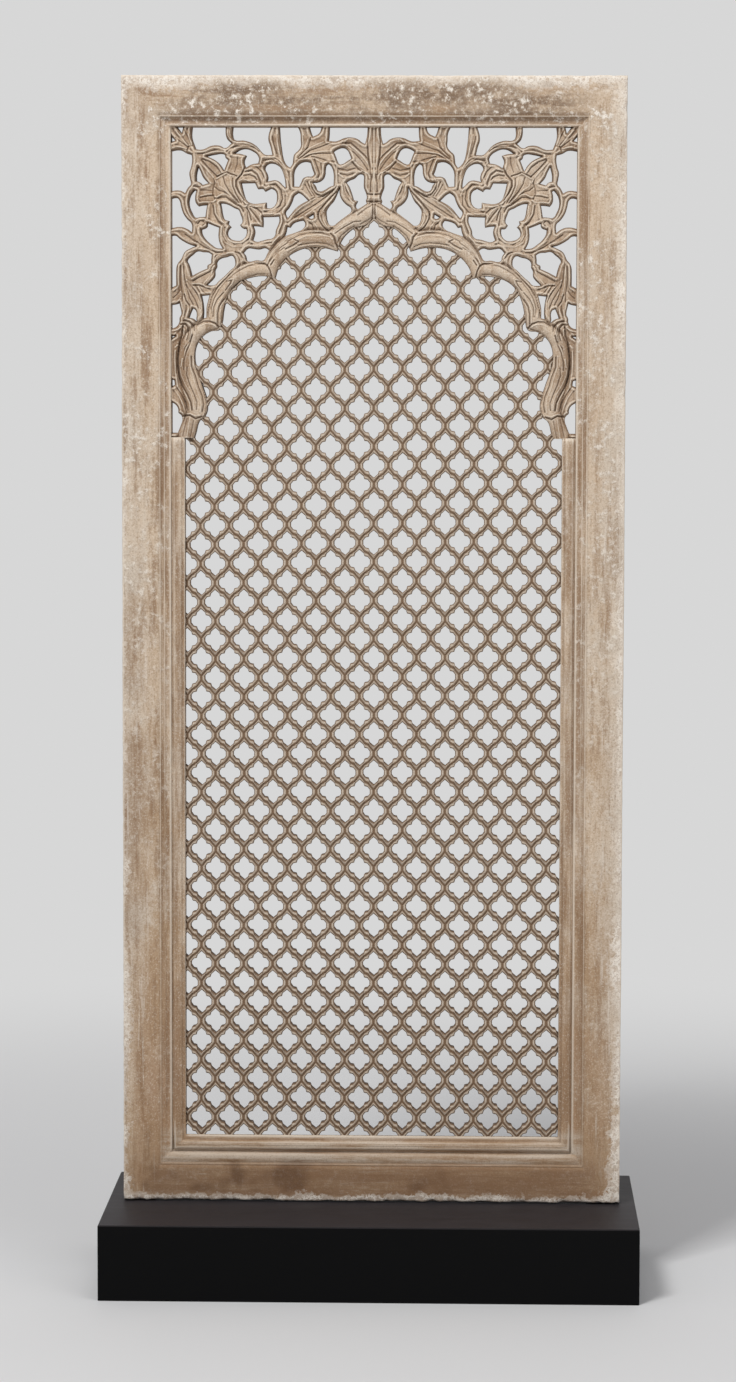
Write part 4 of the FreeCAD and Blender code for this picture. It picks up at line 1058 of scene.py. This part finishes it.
def stone_weathering_and_shading():
    """The group that colours and pits the stone and paints shade and highlights on it, shared by
    all its pieces.
    """
    tree = bpy.data.node_groups.new("stone_weathering_and_shading", "ShaderNodeTree")
    for name in WEATHER_AND_SHADE_KINDS:
        tree.interface.new_socket(name, in_out="INPUT", socket_type="NodeSocketFloat")
    for name, kind in (("Color", "Color"), ("Roughness", "Float"), ("Height", "Float")):
        tree.interface.new_socket(name, in_out="OUTPUT", socket_type="NodeSocket" + kind)
    given = tree.nodes.new("NodeGroupInput")
    place = node(tree, "ShaderNodeTexCoord").outputs["Object"]
    split = node(tree, "ShaderNodeSeparateXYZ", {"Vector": place})
    across = calc(tree, "ABSOLUTE", split.outputs["X"])
    side = calc(tree, "SUBTRACT", half_width, across)
    foot = calc(tree, "SUBTRACT", split.outputs["Z"], slab_foot)
    head = calc(tree, "SUBTRACT", slab_height, foot)
    end = calc(tree, "MINIMUM", head, foot)
    level = ramp(tree, foot, 0.0, slab_height)
    right_hand = ramp(tree, split.outputs["X"], -0.1, 0.1)
    broad = noise_value(tree, place, 3.6, 5)
    patch = noise_value(tree, place, 13, 7, 0.68)
    fine = noise_value(tree, place, 110, 6, 0.72)
    speck = noise_value(tree, place, 430, 3, 0.6)
    # Tool marks and stains are drawn out along the stiles and along the head and foot.
    rail = ramp(tree, calc(tree, "SUBTRACT", side, end), -12 * MM, 12 * MM)
    up_drawn = noise_value(tree, place, 30, 7, 0.7, (1.6, 1.6, 0.16))
    across_drawn = noise_value(tree, place, 30, 7, 0.7, (0.16, 1.6, 1.6))
    drawn = blended(tree, [(up_drawn, 1.0), (product(
        tree, rail, calc(tree, "SUBTRACT", across_drawn, up_drawn)), 1.0)])
    up_marks = noise_value(tree, place, 150, 5, 0.7, (1.2, 1.2, 0.11))
    across_marks = noise_value(tree, place, 150, 5, 0.7, (0.11, 1.2, 1.2))
    marks = blended(tree, [(up_marks, 1.0), (product(
        tree, rail, calc(tree, "SUBTRACT", across_marks, up_marks)), 1.0)])
    # The ground colour, mottled from buff to pale, with a grey bloom and a thin brown patina.
    # The level term paints the stone paler towards the head: painted light that falls off towards
    # the foot.
    tone = blended(tree, [(broad, 0.35), (drawn, 0.45), (patch, 0.3), (level, 0.14)])
    colour = mix(tree, ramp(tree, tone, 0.50, 0.69), STONE_BUFF, STONE_PALE)
    bloom = ramp(tree, blended(tree, [(patch, 0.8), (fine, 0.2)]), 0.46, 0.60)
    bleached = ramp(tree, blended(tree, [(side, 1.0), (drawn, -80 * MM)]), 12 * MM, -30 * MM)
    bloom = product(tree, blended(tree, [(bloom, 0.5), (bleached, 0.45)]),
                    ramp(tree, foot, 50 * MM, 420 * MM))
    colour = mix(tree, bloom, colour, STONE_GREY)
    age = ramp(tree, blended(tree, [(drawn, 0.72), (fine, 0.28)]), 0.51, 0.40)
    age = product(tree, age, blended(tree, [(right_hand, -0.4), (1.0, 1.0)]))
    colour = mix(tree, product(tree, age, given.outputs["Patina"]), colour, STONE_BROWN)
    colour = mix(tree, product(tree, ramp(tree, marks, 0.46, 0.34), 0.45), colour, STONE_BROWN)
    streaked = noise_value(tree, place, 9, 5, 0.6, (1.0, 1.0, 0.35))
    streaked = product(tree, ramp(tree, streaked, 0.49, 0.61), ramp(tree, side, 68 * MM, 20 * MM),
                       blended(tree, [(right_hand, -0.36), (1.0, 0.44)]))
    colour = mix(tree, streaked, colour, STONE_BROWN)
    colour = mix(tree, product(tree, ramp(tree, marks, 0.55, 0.67), 0.35), colour, STONE_GREY)
    # Brown stains along the head, ochre ones above the foot and a dark skin over the foot itself.
    stained = ramp(tree, blended(tree, [(across_drawn, 0.6), (patch, 0.4)]), 0.40, 0.56)
    stained = product(tree, stained, ramp(tree, head, 92 * MM, 62 * MM),
                      ramp(tree, head, 2 * MM, 20 * MM), ramp(tree, side, 20 * MM, 130 * MM),
                      blended(tree, [(ramp(tree, fine, 0.58, 0.44), 0.5), (1.0, 0.45)]))
    colour = mix(tree, stained, colour, STONE_STAIN)
    ochre = ramp(tree, blended(tree, [(broad, 0.45), (drawn, 0.55)]), 0.40, 0.58)
    ochre = product(tree, ochre, ramp(tree, foot, 520 * MM, 70 * MM),
                    ramp(tree, side, 8 * MM, 36 * MM), 0.75)
    colour = mix(tree, ochre, colour, STONE_OCHRE)
    skin = product(tree, ramp(tree, foot, 84 * MM, 44 * MM), ramp(tree, side, 14 * MM, 60 * MM),
                   ramp(tree, drawn, 0.34, 0.54), 0.6)
    colour = mix(tree, skin, colour, STONE_FOOT)
    # Rust blots on the foot, and a grey bloom left on the moulding above it.
    blots = product(tree, ramp(tree, noise_value(tree, place, 7.5, 3), 0.54, 0.64),
                    ramp(tree, foot, 96 * MM, 60 * MM), ramp(tree, foot, 6 * MM, 22 * MM), 0.62)
    colour = mix(tree, blots, colour, STONE_RUST)
    rim = calc(tree, "MINIMUM", side, end)
    chalked = product(tree, ramp(tree, rim, 57 * MM, 66 * MM),
                      ramp(tree, foot, 124 * MM, 100 * MM),
                      ramp(tree, across_drawn, 0.40, 0.60), 0.72)
    colour = mix(tree, chalked, colour, STONE_GREY)
    # The moulding round the opening is rubbed brown.
    moulding = product(tree, ramp(tree, rim, 57 * MM, 63 * MM),
                       ramp(tree, rim, 122 * MM, 104 * MM), ramp(tree, drawn, 0.66, 0.42),
                       blended(tree, [(ramp(tree, foot, 110 * MM, 170 * MM), 0.54), (1.0, 0.10)]))
    colour = mix(tree, moulding, colour, STONE_BROWN)
    # Lime crust: flaking from the outer edges, run down the stiles and speckled over the head.
    ragged = blended(tree, [(patch, 90 * MM), (fine, 90 * MM), (1.0, -96 * MM)])
    side_reach = blended(tree, [(side, 1.5), (product(tree, side, right_hand), -0.5),
                                (right_hand, -7 * MM), (1.0, 8 * MM),
                                (ramp(tree, foot, 520 * MM, 60 * MM), -6 * MM)])
    edge = calc(tree, "MINIMUM", side_reach,
                calc(tree, "MINIMUM", head, blended(tree, [(foot, 2.2), (1.0, -11 * MM)])))
    flaked = product(tree, ramp(tree, calc(tree, "ADD", edge, ragged), 12 * MM, 0.0),
                     blended(tree, [(ramp(tree, fine, 0.44, 0.54), 0.55), (1.0, 0.4)]))
    spots = product(tree, ramp(tree, fine, 0.53, 0.61), ramp(tree, patch, 0.46, 0.56),
                    blended(tree, [(level, 0.85), (1.0, 0.06)]))
    runs = noise_value(tree, place, 62, 6, 0.7, (2.0, 2.0, 0.09))
    runs = product(tree, ramp(tree, runs, 0.55, 0.68), ramp(tree, side, 60 * MM, 30 * MM), 0.5)
    crust = calc(tree, "MAXIMUM", calc(tree, "MAXIMUM", flaked, spots), runs)
    crust = product(tree, crust, given.outputs["Crust"])
    colour = mix(tree, crust, colour, STONE_CRUST)
    # Grit shows as dark and pale specks.
    colour = mix(tree, product(tree, ramp(tree, speck, 0.47, 0.33), 0.45), colour, STONE_BROWN)
    pale_grit = product(tree, ramp(tree, speck, 0.54, 0.68),
                        blended(tree, [(ramp(tree, foot, 60 * MM, 150 * MM), 0.26), (1.0, 0.06)]))
    colour = mix(tree, pale_grit, colour, STONE_CRUST)
    # The pierced work is darkened grey-brown, with painted shade that grows towards the foot.
    darkened_grey_brown = product(tree, given.outputs["Skin"], blended(tree, [(level, -0.5), (1.0, 1.25)]))
    colour = mix(tree, darkened_grey_brown, colour, STONE_DARK_GREY_BROWN)
    # Work that is sunk behind the two faces of the slab is browner the deeper it lies: dust that
    # was never rubbed clean, and painted shade in the recesses.
    front_gap = calc(tree, "SUBTRACT", split.outputs["Y"], slab_front)
    back_gap = calc(tree, "SUBTRACT", slab_back, split.outputs["Y"])
    sunk_stain_and_shade = ramp(tree, calc(tree, "MINIMUM", front_gap, back_gap), 5 * MM, 16 * MM)
    colour = mix(tree, product(tree, sunk_stain_and_shade, given.outputs["Deep stain and shade"]), colour,
                 STONE_BROWN)
    # Rubbed arrises are paler, partly wear and partly a painted highlight; hollows are darkened by
    # dust and painted shade, and the pierced walls by painted shade.
    shape = node(tree, "ShaderNodeNewGeometry")
    depth = split.outputs["Y"]
    exposed = calc(tree, "MAXIMUM", ramp(tree, depth, -11.5 * MM, -13.5 * MM),
                   ramp(tree, depth, 14 * MM, 22 * MM))
    rubbed_and_highlit = product(tree, ramp(tree, shape.outputs["Pointiness"], 0.515, 0.555), exposed,
                     blended(tree, [(ramp(tree, foot, 30 * MM, 110 * MM), 0.68), (1.0, 0.12)]))
    colour = mix(tree, rubbed_and_highlit, colour, STONE_RUBBED_HIGHLIGHT)
    # Painted shade lies on the slopes that run down to the openings.
    low_slope = product(tree, ramp(tree, depth, -13.6 * MM, -11.0 * MM),
                        given.outputs["Slope shade"])
    colour = mix(tree, low_slope, colour, STONE_SHADE)
    # Dark dust in the cuts, and painted shade from ambient occlusion in the hollows.
    sunk = ramp(tree, shape.outputs["Pointiness"], 0.494, 0.455)
    hollow = node(tree, "ShaderNodeAmbientOcclusion", {"Distance": 7 * MM},
                  samples=8).outputs["AO"]
    dust_and_painted_light = calc(tree, "MAXIMUM", sunk, ramp(tree, hollow, 0.8, 0.25))
    colour = mix(tree, product(tree, dust_and_painted_light, given.outputs["Dust and shade"]), colour, STONE_DUST_AND_SHADE)
    # Painted shade on the walls of the openings, which face across the slab.
    facing = node(tree, "ShaderNodeSeparateXYZ", {"Vector": shape.outputs["True Normal"]})
    wall = ramp(tree, calc(tree, "ABSOLUTE", facing.outputs["Y"]), 0.78, 0.30)
    colour = mix(tree, product(tree, wall, given.outputs["Wall shade"]), colour, STONE_SHADE)
    height = blended(tree, [(fine, 0.9), (speck, 0.35), (crust, 0.3), (drawn, 0.5)])
    rough = blended(tree, [(fine, 0.2), (1.0, 0.74)])
    node(tree, "NodeGroupOutput", {"Color": colour, "Roughness": rough, "Height": height})
    return tree


WEATHERING_AND_SHADING = stone_weathering_and_shading()


def new_finish(name):
    """A new material, its nodes and its shader."""
    material = bpy.data.materials.new(name)
    material.use_nodes = True
    return material, material.node_tree, material.node_tree.nodes["Principled BSDF"]


def set_finish(tree, shader, colour, roughness, height=None, strength=0.0, distance=0.0):
    """Give a shader its colour and roughness, and a bump where there is a height."""
    plug(tree, shader.inputs["Base Color"], colour)
    plug(tree, shader.inputs["Roughness"], roughness)
    if height is not None:
        bump = node(tree, "ShaderNodeBump", {
            "Height": height, "Strength": strength, "Distance": distance})
        plug(tree, shader.inputs["Normal"], bump.outputs["Normal"])


def sandstone(name, strength, *shares):
    """Sandstone, with how strong its bump is and its share of each kind of weathering and of
    painted shade and highlight.
    """
    material, tree, shader = new_finish(name)
    weather_and_shade = node(tree, "ShaderNodeGroup", node_tree=WEATHERING_AND_SHADING)
    for socket, share in zip(weather_and_shade.inputs, shares):
        socket.default_value = share
    set_finish(tree, shader, *weather_and_shade.outputs, strength, 1.2 * MM)
    shader.inputs["Specular IOR Level"].default_value = 0.3
    return material


BORDER_STONE = sandstone("border_stone", 0.75, 1.0, 0.70, 0.20, 0.18, 0.0, 0.0, 0.0)
FRAME_STONE = sandstone("frame_stone", 0.55, 0.30, 0.70, 0.20, 0.26, 0.0, 0.0, 0.0)
LATTICE_STONE = sandstone("lattice_stone", 0.35, 0.15, 0.60, 0.92, 0.66, 0.82, 0.12, 0.54)
CARVED_STONE = sandstone("carving_stone", 0.35, 0.15, 0.60, 0.75, 0.80, 0.74, 0.06, 0.0)
for piece, finish in ((slab_border, BORDER_STONE), (inner_frame, FRAME_STONE),
                      (lattice, LATTICE_STONE), (carvings[0], CARVED_STONE),
                      (carvings[1], CARVED_STONE)):
    piece.data.materials.clear()
    piece.data.materials.append(finish)
    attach(piece, "root")
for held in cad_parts["jali_slab"].material_slots:
    held.material = BORDER_STONE
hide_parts("jali_slab")

# The plinth: a box of mitred boards painted matt black, rolled on, with a little dust and a
# painted sheen on top, and a faint sheen along its arrises.
PAINT_BLACK = (0.004, 0.004, 0.0042, 1)
PAINT_DUST_AND_SHEEN = (0.049, 0.043, 0.046, 1)


def painted_board():
    """Matt black paint, paler on top with dust and a painted sheen."""
    material, tree, shader = new_finish("black_paint")
    place = node(tree, "ShaderNodeTexCoord").outputs["Object"]
    rolled = noise_value(tree, place, 60, 5, 0.6, (0.25, 1, 1))
    stipple = noise_value(tree, place, 900, 2, 0.5)
    facing = node(tree, "ShaderNodeNewGeometry").outputs["Normal"]
    up = node(tree, "ShaderNodeSeparateXYZ", {"Vector": facing}).outputs["Z"]
    # Upward faces are paler: a little dust, and a painted sheen.
    dust_and_painted_light = product(tree, ramp(tree, up, 0.4, 0.95), calc(tree, "MULTIPLY_ADD", rolled, 0.7, 0.35))
    set_finish(tree, shader, mix(tree, dust_and_painted_light, PAINT_BLACK, PAINT_DUST_AND_SHEEN),
               calc(tree, "MULTIPLY_ADD", rolled, 0.25, 0.36), stipple, 0.12, 0.4 * MM)
    shader.inputs["Specular IOR Level"].default_value = 0.05
    return material


def finish_node(name, material):
    """Give a node of the CAD model a finish."""
    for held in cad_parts[name].material_slots:
        held.material = material


BLACK_PAINT = painted_board()
for name in ("plinth_top", "plinth_front", "plinth_back", "plinth_left", "plinth_right"):
    finish_node(name, BLACK_PAINT)

# Inside the plinth: bare boards on edge, ribs and glue blocks that stiffen it, sawn and left
# unpainted, because nothing shows from outside.
TIMBER_PALE = (0.52, 0.36, 0.20, 1)
TIMBER_DARK = (0.34, 0.21, 0.105, 1)


def bare_timber():
    """Sawn softwood with its grain along X."""
    material, tree, shader = new_finish("bare_timber")
    place = node(tree, "ShaderNodeTexCoord").outputs["Object"]
    grain_lines = noise_value(tree, place, 55, 6, 0.6, (0.06, 1, 1))
    colour = mix(tree, ramp(tree, grain_lines, 0.35, 0.68), TIMBER_PALE, TIMBER_DARK)
    set_finish(tree, shader, colour, 0.8, grain_lines, 0.3, 0.6 * MM)
    return material


BARE_TIMBER = bare_timber()
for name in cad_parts:
    if name.startswith(("spine", "rib", "corner_block", "tie_cleat")):
        finish_node(name, BARE_TIMBER)

# The hidden fixings: two square steel dowels welded to a flat bar, and the thin black sheet that
# the stone is bedded on.
STEEL = (0.42, 0.42, 0.43, 1)
STEEL_SCALE = (0.20, 0.19, 0.185, 1)
SHEET_BLACK = (0.03, 0.03, 0.032, 1)
SHEET_GREY = (0.06, 0.06, 0.062, 1)


def plain_finish(name, light, dark, scale, rough, metallic):
    """A mottled finish for a hidden fitting."""
    material, tree, shader = new_finish(name)
    place = node(tree, "ShaderNodeTexCoord").outputs["Object"]
    mottle = noise_value(tree, place, scale, 5, 0.6)
    set_finish(tree, shader, mix(tree, ramp(tree, mottle, 0.35, 0.7), light, dark),
               calc(tree, "MULTIPLY_ADD", mottle, 0.3, rough))
    shader.inputs["Metallic"].default_value = metallic
    return material


MILL_STEEL = plain_finish("mill_steel", STEEL, STEEL_SCALE, 40, 0.3, 1.0)
BEDDING = plain_finish("bedding_rubber", SHEET_BLACK, SHEET_GREY, 90, 0.6, 0.0)
for name in ("dowel_left", "dowel_right", "tie_bar"):
    finish_node(name, MILL_STEEL)
finish_node("bedding_sheet", BEDDING)

# The studio: a pale floor that sweeps up behind the screen, soft lamps in front and above, and a
# camera a little to the right of the middle, at about the height of the top of the arch.
FLOOR_GREY = (0.76, 0.76, 0.76, 1)
BACKDROP = (0.68, 0.68, 0.68, 1)
FILL = (0.31, 0.31, 0.32, 1)
SWEEP_START, SWEEP_END = 0.9, 3.2


def seen_mask(tree):
    """One where the camera looks straight at a thing, or sees it in or through another."""
    rays = node(tree, "ShaderNodeLightPath")
    seen = calc(tree, "MAXIMUM", rays.outputs["Is Camera Ray"], rays.outputs["Is Glossy Ray"])
    return calc(tree, "MAXIMUM", seen, rays.outputs["Is Transmission Ray"])


floor_maker = bmesh.new()
bmesh.ops.create_grid(floor_maker, x_segments=1, y_segments=1, size=20)
floor = set_mesh("studio_floor", floor_maker)
paper, tree, shader = new_finish("pale_paper")
set_finish(tree, shader, FLOOR_GREY, 0.9)
glow = node(tree, "ShaderNodeEmission", {"Color": BACKDROP, "Strength": 1.0})
place = node(tree, "ShaderNodeTexCoord").outputs["Object"]
away = node(tree, "ShaderNodeVectorMath", {0: place}, operation="LENGTH").outputs["Value"]
far = calc(tree, "MULTIPLY", ramp(tree, away, SWEEP_START, SWEEP_END), seen_mask(tree))
sweep = node(tree, "ShaderNodeMixShader", {0: far, 1: shader.outputs[0], 2: glow.outputs[0]})
plug(tree, tree.nodes["Material Output"].inputs["Surface"], sweep.outputs[0])
floor.data.materials.append(paper)

world = bpy.data.worlds.new("studio")
world.use_nodes = True
bpy.context.scene.world = world
sky = world.node_tree
background = sky.nodes["Background"]
plug(sky, background.inputs["Color"], mix(sky, seen_mask(sky), FILL, BACKDROP))
background.inputs["Strength"].default_value = 1.0

# Each lamp: its name, its place, its size in metres and its power in watts.
LAMPS = (
    ("key", (-1.7, -3.4, 5.2), 1.3, 190),
    ("fill", (2.6, -3.4, 1.4), 2.2, 31),
    ("top", (0.3, -0.7, 3.8), 0.9, 8),
    ("rim", (0.0, 2.8, 3.0), 2.0, 14),
)
target = Vector((0, 0, 1.0))
for name, place, size, power in LAMPS:
    light = bpy.data.lights.new(name, "AREA")
    light.size = size
    light.energy = power
    lamp = bpy.data.objects.new(name, light)
    lamp.location = place
    lamp.rotation_euler = (target - Vector(place)).to_track_quat("-Z", "Y").to_euler()
    bpy.context.scene.collection.objects.link(lamp)

# The camera was fitted to the corners of the slab and the plinth, with its turns in radians.
CAMERA_PLACE = Vector((0.15997, -6.37797, 1.46581))
CAMERA_YAW, CAMERA_PITCH, CAMERA_ROLL = -0.0263, 0.0813, 0.0024
CAMERA_LENS = 104.12
ahead = Vector((math.sin(CAMERA_YAW) * math.cos(CAMERA_PITCH),
                math.cos(CAMERA_YAW) * math.cos(CAMERA_PITCH), -math.sin(CAMERA_PITCH)))
level_right = Vector((math.cos(CAMERA_YAW), -math.sin(CAMERA_YAW), 0))
level_up = level_right.cross(ahead)
right = math.cos(CAMERA_ROLL) * level_right + math.sin(CAMERA_ROLL) * level_up
up = -math.sin(CAMERA_ROLL) * level_right + math.cos(CAMERA_ROLL) * level_up
lens = bpy.data.cameras.new("camera")
lens.lens = CAMERA_LENS
lens.sensor_width = 36
lens.sensor_fit = "AUTO"
camera = bpy.data.objects.new("camera", lens)
turned = Matrix((right, up, -ahead)).transposed().to_4x4()
camera.matrix_world = Matrix.Translation(CAMERA_PLACE) @ turned
bpy.context.scene.collection.objects.link(camera)
bpy.context.scene.camera = camera
bpy.context.scene.view_settings.view_transform = "Standard"
